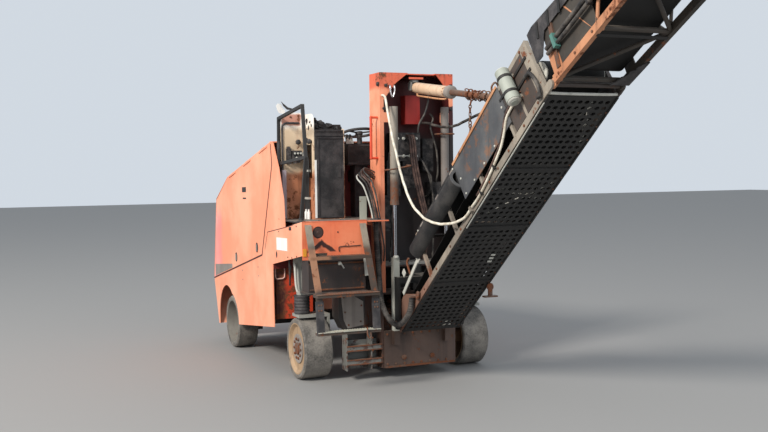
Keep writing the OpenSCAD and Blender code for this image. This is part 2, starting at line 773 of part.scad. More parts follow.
// Front axle beam with a fork and king pin at each end
module front_axle() {
    fork_w = 45;
    color("dimgray") place() {
        block([king_l_x + 75, wheelbase - axle_d / 2, wheel_r - axle_h / 2],
            [king_r_x - 75, wheelbase + axle_d / 2, wheel_r + axle_h / 2]);
        for (x = [king_l_x, king_r_x]) {
            inward = x < -body_offset ? 1 : -1;
            for (z = [wheel_r - fork_gap - fork_t, wheel_r + fork_gap]) {
                translate([x, wheelbase, z]) cylinder(h = fork_t, r = fork_w);
                block([min(x, x + inward * 95), wheelbase - fork_w, z],
                    [max(x, x + inward * 95), wheelbase + fork_w, z + fork_t]);
            }
            block([min(x + inward * 60, x + inward * 95), wheelbase - fork_w, wheel_r - fork_gap - 1],
                [max(x + inward * 60, x + inward * 95), wheelbase + fork_w, wheel_r + fork_gap + 1]);
            translate([x, wheelbase, wheel_r - fork_gap - 1]) cylinder(h = 2 * fork_gap + 2, r = kingpin_r);
        }
    }
}

// Steering knuckle: barrel on the king pin and the stub axle that carries the wheel
module knuckle(x, out) {
    h = fork_gap - side_gap;
    color("gray") place() difference() {
        union() {
            translate([x, wheelbase, wheel_r - h]) cylinder(h = 2 * h, r = 38);
            xcyl(x + out * 58, wheelbase, wheel_r, 30, 106);
        }
        translate([x, wheelbase, wheel_r - h - 5]) cylinder(h = 2 * h + 10, r = kingpin_r + run);
    }
}

module left_knuckle() {
    knuckle(king_l_x, -1);
}

module right_knuckle() {
    knuckle(king_r_x, 1);
}

// Solid rubber tyre on X, its outer face at x and its body towards in
module tyre(x, y, w, in) {
    edge = 14;
    color("dimgray") place() translate([x, y, wheel_r]) rotate([0, in * 90, 0]) rotate_extrude($fn = 96)
        polygon([[rim_r, 4], [wheel_r - edge, 0], [wheel_r, edge], [wheel_r, w - edge],
            [wheel_r - edge, w], [rim_r, w - 4]]);
}

// Wheel rim: barrel, disc at a depth, hub with a blind bore from the inner side
module rim(x, y, w, in, disc, hub_r, hub_end, bore_r, tint) {
    color(tint) place() translate([x, y, wheel_r]) rotate([0, in * 90, 0]) difference() {
        rotate_extrude($fn = 96) polygon([[0, disc], [70, disc], [82, disc + 8], [rim_r - 40, disc + 8],
            [rim_r - rim_wall, 4], [rim_r - seat, 4], [rim_r - seat, w - 4], [rim_r - rim_wall, w - 4],
            [rim_r - rim_wall, disc + 30], [hub_r, disc + 30], [hub_r, hub_end], [0, hub_end]]);
        translate([0, 0, disc + 14]) cylinder(h = hub_end, r = bore_r);
        for (a = [0 : 45 : 315]) {
            rotate([0, 0, a]) translate([110, 0, disc - 5]) cylinder(h = 50, r = 12);
        }
    }
}

module tyre_front_left() {
    tyre(left_x + front_wheel_inset, wheelbase, front_tyre_w, 1);
}

module tyre_front_right() {
    tyre(right_x - front_wheel_inset, wheelbase, front_tyre_w, -1);
}

module rim_front_left() {
    rim(left_x + front_wheel_inset, wheelbase, front_tyre_w, 1, 135, 65, 200, 30 + run, "lightgray");
}

module rim_front_right() {
    rim(right_x - front_wheel_inset, wheelbase, front_tyre_w, -1, 135, 65, 200, 30 + run, "lightgray");
}

module tyre_rear_left() {
    tyre(-rear_track / 2, 0, rear_tyre_w, 1);
}

module tyre_rear_right() {
    tyre(rear_track / 2, 0, rear_tyre_w, -1);
}

module rim_rear_left() {
    rim(-rear_track / 2, 0, rear_tyre_w, 1, 24, 80, rear_tyre_w - 8, stub_r + run, "burlywood");
}

module rim_rear_right() {
    rim(rear_track / 2, 0, rear_tyre_w, -1, 24, 80, rear_tyre_w - 8, stub_r + run, "burlywood");
}

// Lifting leg: piston, boot, yoke over the tyre and the stub axle on its inner plate
module leg(x, in) {
    tyre_in = x - in * leg_inset + in * rear_tyre_w;
    plate_out = tyre_in + in * 10;
    plate_in = plate_out + in * yoke_plate_t;
    top_out = x - in * (boot_r - 5);
    stub_out = x - in * leg_inset + in * 44;
    color("gray") place() {
        translate([x, 0, yoke_z]) cylinder(h = deck_z - 240 - yoke_z, r = leg_r);
        block([min(top_out, plate_in), -110, yoke_z], [max(top_out, plate_in), 110, yoke_z + yoke_t]);
        side_slab(min(plate_out, plate_in), yoke_plate_t) polygon([[-110, yoke_z + 1], [-110, 420], [-75, 240],
            [75, 240], [110, 420], [110, yoke_z + 1]]);
        xcyl((stub_out + plate_out) / 2, 0, wheel_r, stub_r, abs(stub_out - plate_out) + 2);
    }
    color("black") place() translate([x, 0, yoke_z + yoke_t]) difference() {
        cylinder(h = 195, r = boot_r);
        translate([0, 0, -5]) cylinder(h = 205, r = leg_r);
    }
}

module left_leg() {
    leg(leg_l_x, 1);
}

module right_leg() {
    leg(leg_r_x, -1);
}

// Milling drum: core, shaft, and cutting tools in two helices that meet in the middle
module milling_drum() {
    w = housing_w - 2 * housing_t - 40;
    color("saddlebrown") place() translate([line_x, drum_y, drum_z]) {
        xcyl(0, 0, 0, drum_core_r, w);
        xcyl(0, 0, 0, drum_shaft_r, housing_w - 4);
        for (i = [0 : tool_count - 1]) {
            half = i % 2 == 0 ? -1 : 1;
            t = (floor(i / 2) + 0.5) / (tool_count / 2);
            translate([half * t * (w / 2 - 25), 0, 0]) rotate([half * 900 * t + (half > 0 ? 60 : 0), 0, 0]) {
                translate([0, 0, drum_core_r - 20]) rotate([-25, 0, 0]) cylinder(h = 62, r = 26, $fn = 6);
                translate([0, 0, drum_core_r]) rotate([-25, 0, 0])
                    cylinder(h = (drum_tip_r - drum_core_r) * 0.97, r = 11, $fn = 6);
            }
        }
    }
}

// Scraper blade behind the drum, its two square guide tubes and the hoist rods
module scraper() {
    low = 112;
    top = 492;
    tube_top = 1236;
    color("saddlebrown") place() {
        block([housing_l + 15, scraper_y - scraper_t, low], [housing_r - 15, scraper_y, top]);
        for (s = [-1, 1]) {
            x = line_x + s * hoist_x;
            block([x - hoist_tube / 2, hoist_y - hoist_tube / 2, low + 240],
                [x + hoist_tube / 2, hoist_y + hoist_tube / 2, tube_top]);
            translate([x, hoist_y, tube_top - 1]) cylinder(h = 840, r = hoist_rod_r);
        }
    }
}

// Slewing yoke: tube on the post, neck, cross bar and the two cheeks that hold the conveyor's pins
module slew_yoke() {
    half = conv_w / 2 + yoke_gap + yoke_cheek_t;
    bar_rear = bar_front - bar_depth;
    color("darkgray") place() difference() {
        union() {
            translate([line_x, slew_y, housing_top + side_gap])
                cylinder(h = king_top - housing_top - 2 * side_gap, r = king_tube_r);
            block([line_x - 80, bar_front - 10, neck_z], [line_x + 80, slew_y, neck_z + neck_t]);
            block([line_x - half, bar_rear, neck_z], [line_x + half, bar_front, neck_z + neck_t]);
            for (x = [line_x - half, line_x + half - yoke_cheek_t]) {
                side_slab(x, yoke_cheek_t) polygon([[bar_front + 20, neck_z + neck_t], [bar_front + 20, 560],
                    [luff_y + 20, luff_z - 60], [luff_y - 30, luff_z - 60], [bar_rear, 590],
                    [bar_rear, neck_z + neck_t]]);
            }
        }
        translate([line_x, slew_y, housing_top]) cylinder(h = king_top, r = king_post_r + run);
        xcyl(line_x, luff_y, luff_z, luff_pin_r + run, conv_w + 200);
    }
}

// A flat lug round a hinge pin at (s, n)
module hinge_lug(s, n, r, w0, t, reach) {
    translate([s, w0 + t, n]) rotate([90, 0, 0]) linear_extrude(t) union() {
        circle(r = r);
        translate([min(0, reach), -r]) square([abs(reach), 2 * r]);
    }
}

// Lower conveyor frame: chords, posts, tail cheeks, cross tubes, luffing pins and the stay's A-frame
module lower_frame() {
    half = conv_w / 2;
    end = lower_len - fold_gap;
    top = lower_depth;
    post = [920, 1600, 2250, 2900, end - 30];
    pin_s = (tail_y - luff_y) * cos(lower_rise) + (luff_z - tail_z) * sin(lower_rise);
    pin_n = (luff_y - tail_y) * sin(lower_rise) + (luff_z - tail_z) * cos(lower_rise);
    color("rosybrown") place() lower_place() {
        both_sides() {
            cbox([60, end], [half - chord_w, half], [0, chord_h]);
            cbox([920, end], [half - chord_w, half], [top - 40, top]);
            for (s = post) {
                cbox([s, s + 30], [half - 35, half - 5], [chord_h - 1, top - 39]);
            }
            translate([0, half, 0]) rotate([90, 0, 0]) linear_extrude(8)
                polygon([[0, 0], [0, 32], [60, 190], [330, 245], [620, 60], [620, 0]]);
            translate([pin_s, half - 8, pin_n]) rotate([-90, 0, 0]) {
                cylinder(h = 20, r = 45);
                cylinder(h = 8 + yoke_gap + yoke_cheek_t, r = luff_pin_r);
            }
            cbox([end - 100, end], [half - 8, half], [chord_h - 1, top - 39]);
            hinge_lug(lower_len, fold_n, 34, half - lug_t, lug_t, -fold_gap - 5);
            bar([eye_s - 232, half - 20, top - 1], [eye_s - 12, 54, eye_n - 12], 16);
            bar([eye_s + 232, half - 20, top - 1], [eye_s + 12, 54, eye_n - 12], 16);
            hinge_lug(eye_s, eye_n, 42, 36, 18, -1);
        }
        croll(lower_len, fold_n, fold_pin_r, conv_w - 2);
        croll(eye_s, eye_n, eye_pin_r, 100);
        // clip of the pale cable
        cbox([1990, 2015], [-half - 30, -half + 1], [10, 59]);
        // accumulator on its bracket beside the fold
        translate([end - 300, -half - 75, 190]) cylinder(h = 300, r = 58);
        translate([end - 300, -half - 75, 170]) cylinder(h = 21, r = 30);
        cbox([end - 330, end - 270], [-half - 40, -half + 10], [210, 240]);
        cbox([end - 330, end - 270], [-half - 40, -half + 10], [420, 450]);
        cbox([end - 330, end - 300], [-half, -half + 12], [chord_h - 1, top - 39]);
        for (s = [1790, end - 60]) {
            croll(s, chord_h / 2, 22, conv_w - 2 * chord_w + 2);
        }
        for (s = [900, 2250, 2900]) {
            croll(s + 15, top - 20, 18, conv_w - 2 * chord_w + 2);
        }
    }
    // bracket that takes the wrapped hose, beside the tail
    color("rosybrown") place() block([line_x - half - 65, -1045, 900], [line_x - half + 1, -975, 914]);
}

// Where the lower belt's two pulleys lie
lower_tail = [150, 120];
lower_head = [lower_len - 120, 250];

// The outline of a belt loop round two equal pulleys
module loop_outline(a, b, r) {
    d = b - a;
    translate(a) rotate(atan2(d[1], d[0])) {
        circle(r = r);
        translate([norm(d), 0]) circle(r = r);
        translate([0, -r]) square([norm(d), 2 * r]);
    }
}

module belt_loop(a, b, r) {
    color("black") translate([0, belt_w / 2, 0]) rotate([90, 0, 0]) linear_extrude(belt_w) difference() {
        loop_outline(a, b, r + seat + belt_t);
        loop_outline(a, b, r + seat);
    }
}

module lower_belt() {
    place() lower_place() belt_loop(lower_tail, lower_head, pulley_r);
}

module lower_rollers() {
    color("gray") place() lower_place() for (p = [lower_tail, lower_head]) {
        croll(p[0], p[1], pulley_r, belt_w + 20);
        croll(p[0], p[1], 20, conv_w - 16);
    }
}

// Guard sheets under the lower section, drilled all over
module underguard() {
    w = conv_w / 2 - 12;
    // start and end of each sheet along the conveyor
    last = lower_len - fold_gap - 20;
    sheet = [[25, 900], [910, 1790], [1800, 2590], [2600, last]];
    color("darkslategray") place() lower_place() for (g = sheet) {
        translate([0, 0, -8]) linear_extrude(8) drilled(g[0], g[1], w);
    }
}

// A sheet from s0 to s1 and half-width w, with rows of six-sided holes inside a plain margin
module drilled(s0, s1, w) {
    rows = floor((s1 - s0 - 60) / hole_pitch);
    cols = floor((2 * w - 50) / hole_pitch_w);
    first = (s0 + s1 - (rows - 1) * hole_pitch) / 2;
    left = -(cols - 1) * hole_pitch_w / 2;
    hole = [for (k = [0 : 5]) hole_r * [cos(30 + 60 * k), sin(30 + 60 * k)]];
    centre = [for (i = [0 : rows - 1]) for (j = [0 : cols - 1])
        [first + i * hole_pitch, left + j * hole_pitch_w]];
    rim = [[s0, -w], [s1, -w], [s1, w], [s0, w]];
    cut = [for (i = [0 : len(centre) - 1]) [for (k = [0 : 5]) 4 + 6 * i + k]];
    polygon(points = concat(rim, [for (c = centre) for (h = hole) c + h]), paths = concat([[0, 1, 2, 3]], cut));
}

// Rubber cover of the lower belt: arched over the top chords, hanging down the left side, its foot rolled up
module belt_cover() {
    half = conv_w / 2;
    top = lower_depth;
    t = 6;
    roll_r = 100;
    // sheets hung outside the frame: side, start, end, height of the foot
    sheet = [[-1, 980, 1965, 330], [-1, 1960, 2960, 175], [1, 980, 2900, 470]];
    color("slategray") place() lower_place() {
        for (c = sheet) {
            w = half + seat;
            cbox([c[1], c[2]], c[0] < 0 ? [-w - t, -w] : [w, w + t], [c[3], top + 1]);
        }
        translate([980, 0, 0]) rotate([90, 0, 90]) linear_extrude(eye_s - 282 - 980)
            cover_arch(half + seat, top + seat, t);
        // the rolled foot bulges out of the left side
        translate([860, -half + 20, 395]) rotate([90, 0, 90]) linear_extrude(1110) difference() {
            circle(r = roll_r);
            circle(r = roll_r - 24);
            translate([-20 - seat, -roll_r - 1]) square([2 * roll_r, 2 * roll_r + 2]);
        }
    }
}

// Low arch of the cover, from one side sheet to the other
module cover_arch(out, foot, t) {
    rise = 70;
    arc_r = (out * out + rise * rise) / (2 * rise);
    intersection() {
        translate([0, foot + rise - arc_r]) difference() {
            circle(r = arc_r + t, $fn = 160);
            circle(r = arc_r, $fn = 160);
        }
        translate([-out - t, foot]) square([2 * (out + t), rise + 2 * t]);
    }
}

// Upper conveyor frame: chords, side lattice, cross tubes and diagonals
module upper_frame() {
    half = conv_w / 2;
    top = upper_depth;
    end = upper_len;
    bay = [60, 650, 1240, 1830, end - 40];
    color("rosybrown") place() upper_place() difference() {
        upper_frame_bars(half, top, end, bay);
        croll(0, fold_n, fold_pin_r + run, conv_w + 20);
    }
}

module upper_frame_bars(half, top, end, bay) {
    union() {
        both_sides() {
            cbox([fold_gap, end], [half - chord_w, half], [0, chord_h]);
            cbox([fold_gap + 30, end], [half - 30, half], [top - 30, top]);
            for (i = [1 : 3]) {
                peak = (bay[i] + bay[i + 1]) / 2;
                bar([bay[i] + 20, half - 18, chord_h - 8], [peak, half - 16, top - 14], 13);
            }
            for (i = [0 : 2]) {
                peak = (bay[i] + bay[i + 1]) / 2;
                bar([peak + 45, half - 16, top - 14], [bay[i + 1] - 20, half - 18, chord_h - 8], 13);
            }
            cbox([end - 150, end], [half - 8, half], [chord_h - 1, top - 29]);
            cbox([fold_gap + 30, 210], [half - 8, half], [chord_h - 1, 300]);
            hinge_lug(0, fold_n, 34, half - 2 * lug_t - 3, lug_t, fold_gap + 5);
        }
        for (i = [0 : 4]) {
            croll(bay[i] + 14, chord_h / 2, 20, conv_w - 2 * chord_w + 2);
        }
        for (i = [0 : 3]) {
            flip = i % 2 == 0 ? -1 : 1;
            bar([bay[i] + 14, flip * (half - 20), chord_h / 2],
                [bay[i + 1] + 14, -flip * (half - 20), chord_h / 2], 17);
        }
    }
}

upper_tail = [150, 175];

module upper_belt() {
    place() upper_place() belt_loop(upper_tail, [head_s, head_n], pulley_r);
}

module upper_rollers() {
    color("gray") place() upper_place() for (p = [upper_tail, [head_s, head_n]]) {
        croll(p[0], p[1], pulley_r, belt_w + 20);
        croll(p[0], p[1], 20, conv_w - 16);
    }
}

// Swivel clevis under the mast's cap
module stay_swivel() {
    color("gray") place() translate([line_x, stay_y, stay_z]) difference() {
        union() {
            translate([0, 0, 50]) cylinder(h = 24, r = 48);
            for (x = [-48, 33]) {
                block([x, -35, -30], [x + 15, 35, 52]);
            }
            xcyl(0, 0, 0, 18, 92);
        }
        translate([0, 0, 45]) cylinder(h = 40, r = 20 + run);
    }
}

// The luffing cylinder's own axis: local X runs from the mast's swivel to the conveyor's eye
module stay_place() {
    translate([line_x, stay_y, stay_z]) rotate([0, 0, -90]) rotate([0, stay_tilt, 0]) children();
}

module luff_barrel() {
    color("tan") place() stay_place() difference() {
        union() {
            translate([0, 28, 0]) rotate([90, 0, 0]) cylinder(h = 56, r = 42);
            rotate([0, 90, 0]) cylinder(h = 80, r = 26);
            translate([75, 0, 0]) rotate([0, 90, 0]) cylinder(h = barrel_len - 75, r = luff_barrel_r);
            translate([barrel_len - 60, 0, 0]) rotate([0, 90, 0]) cylinder(h = 60, r = luff_barrel_r + 6);
        }
        translate([0, 40, 0]) rotate([90, 0, 0]) cylinder(h = 80, r = 18 + run);
        translate([90, 0, 0]) rotate([0, 90, 0]) cylinder(h = barrel_len, r = luff_rod_r + run);
    }
}

module luff_rod() {
    color("peru") place() stay_place() difference() {
        union() {
            translate([340, 0, 0]) rotate([0, 90, 0]) cylinder(h = stay_len - 340 - 35, r = luff_rod_r);
            translate([stay_len, 27, 0]) rotate([90, 0, 0]) cylinder(h = 54, r = eye_r);
        }
        translate([stay_len, 40, 0]) rotate([90, 0, 0]) cylinder(h = 80, r = eye_bore_r);
    }
}

// Tow lugs on the lower nose sheet
module tow_lugs() {
    z = 460;
    slant = (nose_y - skirt_nose_y) / (seam_nose_z - skirt_nose_z);
    face = nose_y - (seam_nose_z - z) * slant;
    color("dimgray") place() for (x = [-body_offset - 450, -body_offset + 425]) {
        difference() {
            side_slab(x, 25) polygon([[face + 60 * slant + seat, z + 60], [face - 60 * slant + seat, z - 60],
                [face + 70, z - 50], [face + 90, z], [face + 70, z + 50]]);
            xcyl(x + 12.5, face + 48, z, 20, 60);
        }
    }
}

// Thick wrapped hose from under the deck down to the conveyor's tail
module tail_hose() {
    color("black") place() hose(tail_hose_path, tail_hose_r, [1, 0, 0]);
}

// Pale cable from the mast's left post to the conveyor's bottom chord
module pale_cable() {
    color("white") place() hose(pale_cable_path, pale_cable_r, [1, 0, 0]);
}

// Pressure hose that sags from the mast's post to the eye of the luffing cylinder
module sag_hose() {
    color("black") place() hose(sag_hose_path, sag_hose_r, [1, 0, 0]);
}

// Hood doors, hinged along the roof's sloping edges
module door_outline() {
    g = door_gap;
    drop = (hood_top_z - brow_z) / (brow_y - hood_rear_y);
    roof = roof_t + seat;
    polygon([[hood_rear_y, hood_top_z - roof], [brow_y - g, brow_z - roof + g * drop],
        [shoulder_y - panel_t - 2 * g, shoulder_z - 2 * g], [nose_y - 10 - panel_t - 2 * g, seam_nose_z + 90],
        [nose_y - panel_t - 2 * g, seam_nose_z + 2 * g], [seam_rear_y, seam_rear_z + g],
        [350 + g, 2189]]);
}

// A door with its own knuckles, cut free of the fixed ones; right is 0 or 1
module hood_door(right) {
    color("salmon") place() difference() {
        union() {
            side_slab(right == 1 ? inner_r : left_x, panel_t) door_outline();
            hood_side(right) for (t = hinge_places) {
                hinge_bar(t - 101, 100, knuckle_r);
                hinge_bar(t + 101, 100, knuckle_r);
            }
        }
        hood_side(right) for (t = hinge_places) {
            hinge_bar(t - 120, 340, knuckle_r / 2 + run);
            hinge_bar(t - 1, 102, knuckle_r + 3);
        }
    }
}

module left_door() {
    hood_door(0);
}

module right_door() {
    hood_door(1);
}

main_frame();
left_flank();
right_flank();
nose();
hood_roof();
bulkhead();
engine();
side_tank();
deck();
step_box();
ladder();
cabinet();
cabinet_door();
cabinet_foam();
guard_hoop();
console();
steering_wheel();
mast();
king_post();
hoist_barrels();
drum_housing();
drive_casing();
leg_sleeves();
front_axle();
tow_lugs();
left_door();
right_door();
left_knuckle();
right_knuckle();
tyre_front_left();
tyre_front_right();
rim_front_left();
rim_front_right();
left_leg();
right_leg();
tyre_rear_left();
tyre_rear_right();
rim_rear_left();
rim_rear_right();
milling_drum();
scraper();
slew_yoke();
lower_frame();
lower_belt();
lower_rollers();
underguard();
belt_cover();
upper_frame();
upper_belt();
upper_rollers();
stay_swivel();
luff_barrel();
luff_rod();
tail_hose();
pale_cable();
sag_hose();
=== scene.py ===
import math
import random

import bmesh
import bpy
from mathutils import Matrix, Vector


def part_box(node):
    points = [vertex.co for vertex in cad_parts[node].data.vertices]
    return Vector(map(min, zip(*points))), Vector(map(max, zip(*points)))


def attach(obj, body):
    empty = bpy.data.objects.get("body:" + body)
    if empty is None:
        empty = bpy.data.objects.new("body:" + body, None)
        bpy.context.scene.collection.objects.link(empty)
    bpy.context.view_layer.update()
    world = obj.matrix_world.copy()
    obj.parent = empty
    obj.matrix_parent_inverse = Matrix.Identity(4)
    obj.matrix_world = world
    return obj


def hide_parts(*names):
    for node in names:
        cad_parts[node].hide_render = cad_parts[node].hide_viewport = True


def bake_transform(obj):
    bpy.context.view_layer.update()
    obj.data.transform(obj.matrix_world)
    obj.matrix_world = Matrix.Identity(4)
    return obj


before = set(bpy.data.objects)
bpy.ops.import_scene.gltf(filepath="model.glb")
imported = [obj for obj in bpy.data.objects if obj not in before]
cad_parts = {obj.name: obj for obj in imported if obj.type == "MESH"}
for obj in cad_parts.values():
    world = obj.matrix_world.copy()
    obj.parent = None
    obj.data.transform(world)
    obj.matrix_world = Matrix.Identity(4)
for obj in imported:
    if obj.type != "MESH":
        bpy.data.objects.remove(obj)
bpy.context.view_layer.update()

# Camera: the photograph's, low behind the machine and to its left.
# The machine's own zero is on the ground between the rear wheels, in millimetres.
rear_left, rear_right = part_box("tyre_rear_left"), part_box("tyre_rear_right")
ZERO = Vector(((rear_left[0][0] + rear_right[1][0]) / 2, (rear_left[0][1] + rear_left[1][1]) / 2, 0))


def at(x, y, z):
    """A point given in the machine's own millimetres, in the frame's metres."""
    return ZERO + Vector((x, y, z)) / 1000


camera = bpy.data.objects.new("camera", bpy.data.cameras.new("camera"))
bpy.context.scene.collection.objects.link(camera)
camera.data.sensor_width = 36
camera.data.lens = 46.875
camera.data.clip_end = 200
camera.matrix_world = (
    Matrix.Translation(at(-4149, -9683, 2120))
    @ Matrix.Rotation(math.radians(-23), 4, "Z")
    @ Matrix.Rotation(math.radians(90) - math.atan(0.046), 4, "X")
    @ Matrix.Rotation(math.radians(-0.7), 4, "Z")
)
bpy.context.scene.camera = camera
bpy.context.scene.view_settings.view_transform = "Standard"

# Cords: a thick spiral-wrapped hose from under the deck to the conveyor's tail, a pale cable that
# hangs from the mast to the conveyor's chord, and a black pressure hose to the luffing cylinder's rod.
# Each is fixed in a gland or clip at both ends; its skin is drawn in place and rides on no body.


class Field:
    """A socket of a material, so that shader maths reads as arithmetic."""

    def __init__(self, tree, socket):
        self.tree = tree
        self.socket = socket

    def node(self, kind, pins=None, out=0, **settings):
        made = self.tree.nodes.new(kind)
        for key, value in settings.items():
            setattr(made, key, value)
        for pin, value in (pins or {}).items():
            if isinstance(value, Field):
                self.tree.links.new(value.socket, made.inputs[pin])
            else:
                made.inputs[pin].default_value = value
        return Field(self.tree, made.outputs[out])

    def _math(self, kind, a, b):
        return self.node("ShaderNodeMath", {0: a, 1: b}, operation=kind)

    def __add__(self, other):
        return self._math("ADD", self, other)

    def __radd__(self, other):
        return self._math("ADD", other, self)

    def __sub__(self, other):
        return self._math("SUBTRACT", self, other)

    def __rsub__(self, other):
        return self._math("SUBTRACT", other, self)

    def __mul__(self, other):
        return self._math("MULTIPLY", self, other)

    def __rmul__(self, other):
        return self._math("MULTIPLY", other, self)

    def __truediv__(self, other):
        return self._math("DIVIDE", self, other)

    def __rtruediv__(self, other):
        return self._math("DIVIDE", other, self)


def noise(place, scale, detail=4.0, rough=0.55, stretch=None):
    """Soft noise from 0 to 1; stretch squeezes the pattern along each axis."""
    if stretch:
        place = place.node("ShaderNodeVectorMath", {0: place, 1: stretch}, operation="MULTIPLY")
    return place.node("ShaderNodeTexNoise",
                      {"Vector": place, "Scale": scale, "Detail": detail, "Roughness": rough})


def rise(value, low, high):
    """0 below low, 1 above high, smooth between."""
    return value.node("ShaderNodeMapRange", {"Value": value, "From Min": low, "From Max": high},
                      interpolation_type="SMOOTHSTEP")


def mix(amount, a, b):
    """Colour a where amount is 0, colour b where it is 1."""
    return amount.node("ShaderNodeMix", {0: amount, 6: a, 7: b}, out=2, data_type="RGBA")


def rgb(r, g, b):
    """A colour read off a screen, 0 to 255, as linear light."""
    return tuple((c / 255 / 12.92) if c <= 10 else ((c / 255 + 0.055) / 1.055) ** 2.4
                 for c in (r, g, b)) + (1.0,)


def material(name, recipe, **constants):
    """A procedural finish: recipe turns the place on the machine, in metres, into the shader's inputs."""
    made = bpy.data.materials.new(name)
    made.use_nodes = True
    tree = made.node_tree
    shader = tree.nodes["Principled BSDF"]
    for pin, value in constants.items():
        shader.inputs[pin.replace("_", " ")].default_value = value
    coordinates = tree.nodes.new("ShaderNodeTexCoord")
    row_place = Field(tree, coordinates.outputs["Object"])
    place = row_place.node("ShaderNodeVectorMath", {0: row_place, 1: tuple(ZERO)}, operation="SUBTRACT")
    for pin, value in recipe(place).items():
        if pin == "Bump":
            height, depth = value
            bump = height.node("ShaderNodeBump", {"Height": height, "Distance": depth, "Strength": 0.6})
            tree.links.new(bump.socket, shader.inputs["Normal"])
        else:
            tree.links.new(value.socket, shader.inputs[pin])
    return made


def dusty(clean, dirty, scale=9):
    """Rubber or plastic: its own colour, and dust in soft patches."""

    def recipe(p):
        grain = noise(p, 120, 4)
        patch = noise(p, scale, 5, 0.6)
        return {
            "Base Color": mix(rise(patch * 0.75 + grain * 0.25, 0.40, 0.66), clean, dirty),
            "Roughness": 0.5 + patch * 0.35,
            "Bump": (grain, 0.0008),
        }

    return recipe


def joined(name, finish, body, verts, faces):
    """A mesh piece from plain lists, smooth apart from its sharp edges, riding on a body if one is given."""
    mesh = bpy.data.meshes.new(name)
    mesh.from_pydata([tuple(v) for v in verts], [], faces)
    work = bmesh.new()
    work.from_mesh(mesh)
    bmesh.ops.recalc_face_normals(work, faces=work.faces)
    work.to_mesh(mesh)
    work.free()
    mesh.materials.append(finish)
    mesh.shade_smooth()
    mesh.set_sharp_from_angle(angle=math.radians(38))
    made = bpy.data.objects.new(name, mesh)
    bpy.context.scene.collection.objects.link(made)
    if body:
        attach(made, body)
    return made


def curve(points, step):
    """Points of a smooth line through the given ones, about a step apart."""
    path = [Vector(p) for p in points]
    line = []
    for i in range(len(path) - 1):
        a, b, c, d = path[max(i - 1, 0)], path[i], path[i + 1], path[min(i + 2, len(path) - 1)]
        count = max(1, round((c - b).length / step))
        for k in range(count):
            t = k / count
            line.append(0.5 * ((2 * b) + (c - a) * t + (2 * a - 5 * b + 4 * c - d) * t * t
                               + (3 * b - 3 * c + d - a) * t ** 3))
    return line + [path[-1]]


def tubes(name, finish, body, runs, radius, sides=12, wrap=None):
    """Hoses, rods or rails along runs of points in the machine's millimetres; radius is a number, or a
    function of the share of the way along; wrap = (height, pitch) winds a rib round them."""
    verts, faces = [], []
    for points in runs:
        size = radius(0.5) if callable(radius) else radius
        line = curve(points, wrap[1] / 5 if wrap else max(size * 2, 8))
        first, done, side = len(verts), 0.0, Vector((0.0, 0.1, 1.0))
        for i, point in enumerate(line):
            along = (line[min(i + 1, len(line) - 1)] - line[max(i - 1, 0)]).normalized()
            side = side - along * side.dot(along)
            side = side.normalized() if side.length > 1e-3 else along.orthogonal().normalized()
            other = along.cross(side)
            done += (point - line[i - 1]).length if i else 0
            reach = radius(i / (len(line) - 1)) if callable(radius) else radius
            for k in range(sides):
                a = 2 * math.pi * k / sides
                rib = wrap[0] * math.cos(2 * math.pi * done / wrap[1] - a) if wrap else 0
                verts.append(at(*(point + (side * math.cos(a) + other * math.sin(a)) * (reach + rib))))
        for i in range(len(line) - 1):
            for k in range(sides):
                n = (k + 1) % sides
                faces.append(tuple(first + q for q in (i * sides + k, i * sides + n, (i + 1) * sides + n,
                                                       (i + 1) * sides + k)))
        faces.append(tuple(first + k for k in reversed(range(sides))))
        faces.append(tuple(first + (len(line) - 1) * sides + k for k in range(sides)))
    return joined(name, finish, body, verts, faces)


def cord(node, finish, points, radius, wrap=None):
    """A hanging hose or cable on its given route, in place of its plain CAD node."""
    piece = tubes(node + "_skin", finish, None, [points], radius, 16, wrap)
    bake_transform(piece)
    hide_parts(node)


hose_rubber = material("hose_rubber", dusty(rgb(34, 32, 32), rgb(96, 90, 84)))
pale_sheath = material("pale_sheath", dusty(rgb(226, 220, 204), rgb(178, 166, 148), 14))

TAIL_HOSE_R = 27
TAIL_HOSE = [
    (-330, -480, 1616), (-330, -480, 1500), (-326, -480, 1380), (-318, -480, 1260),
    (-310, -480, 1140), (-300, -480, 1010), (-290, -480, 870), (-280, -500, 770), (-265, -560, 685),
    (-250, -645, 625), (-240, -745, 605), (-230, -845, 625), (-215, -930, 685), (-200, -990, 770),
    (-190, -1010, 870), (-190, -1010, 900)]
PALE_CABLE_R = 12
PALE_CABLE = [
    (-215, -401, 2868), (-215, -440, 2866), (-215, -478, 2846), (-220, -508, 2810),
    (-220, -530, 2755), (-220, -555, 2685), (-220, -580, 2625), (-220, -605, 2565),
    (-220, -635, 2505), (-225, -665, 2450), (-225, -695, 2390), (-225, -730, 2335),
    (-225, -765, 2275), (-230, -800, 2220), (-230, -835, 2165), (-235, -870, 2115),
    (-235, -910, 2060), (-240, -950, 2010), (-240, -995, 1960), (-245, -1040, 1910),
    (-250, -1090, 1870), (-250, -1140, 1825), (-255, -1195, 1790), (-255, -1250, 1755),
    (-255, -1310, 1730), (-255, -1370, 1705), (-255, -1430, 1680), (-255, -1495, 1665),
    (-255, -1560, 1655), (-255, -1625, 1645), (-250, -1690, 1640), (-240, -1755, 1635),
    (-235, -1820, 1640), (-220, -1885, 1645), (-205, -1950, 1655), (-190, -2015, 1675),
    (-175, -2075, 1700), (-170, -2130, 1734), (-170, -2182, 1775)]
SAG_HOSE_R = 13
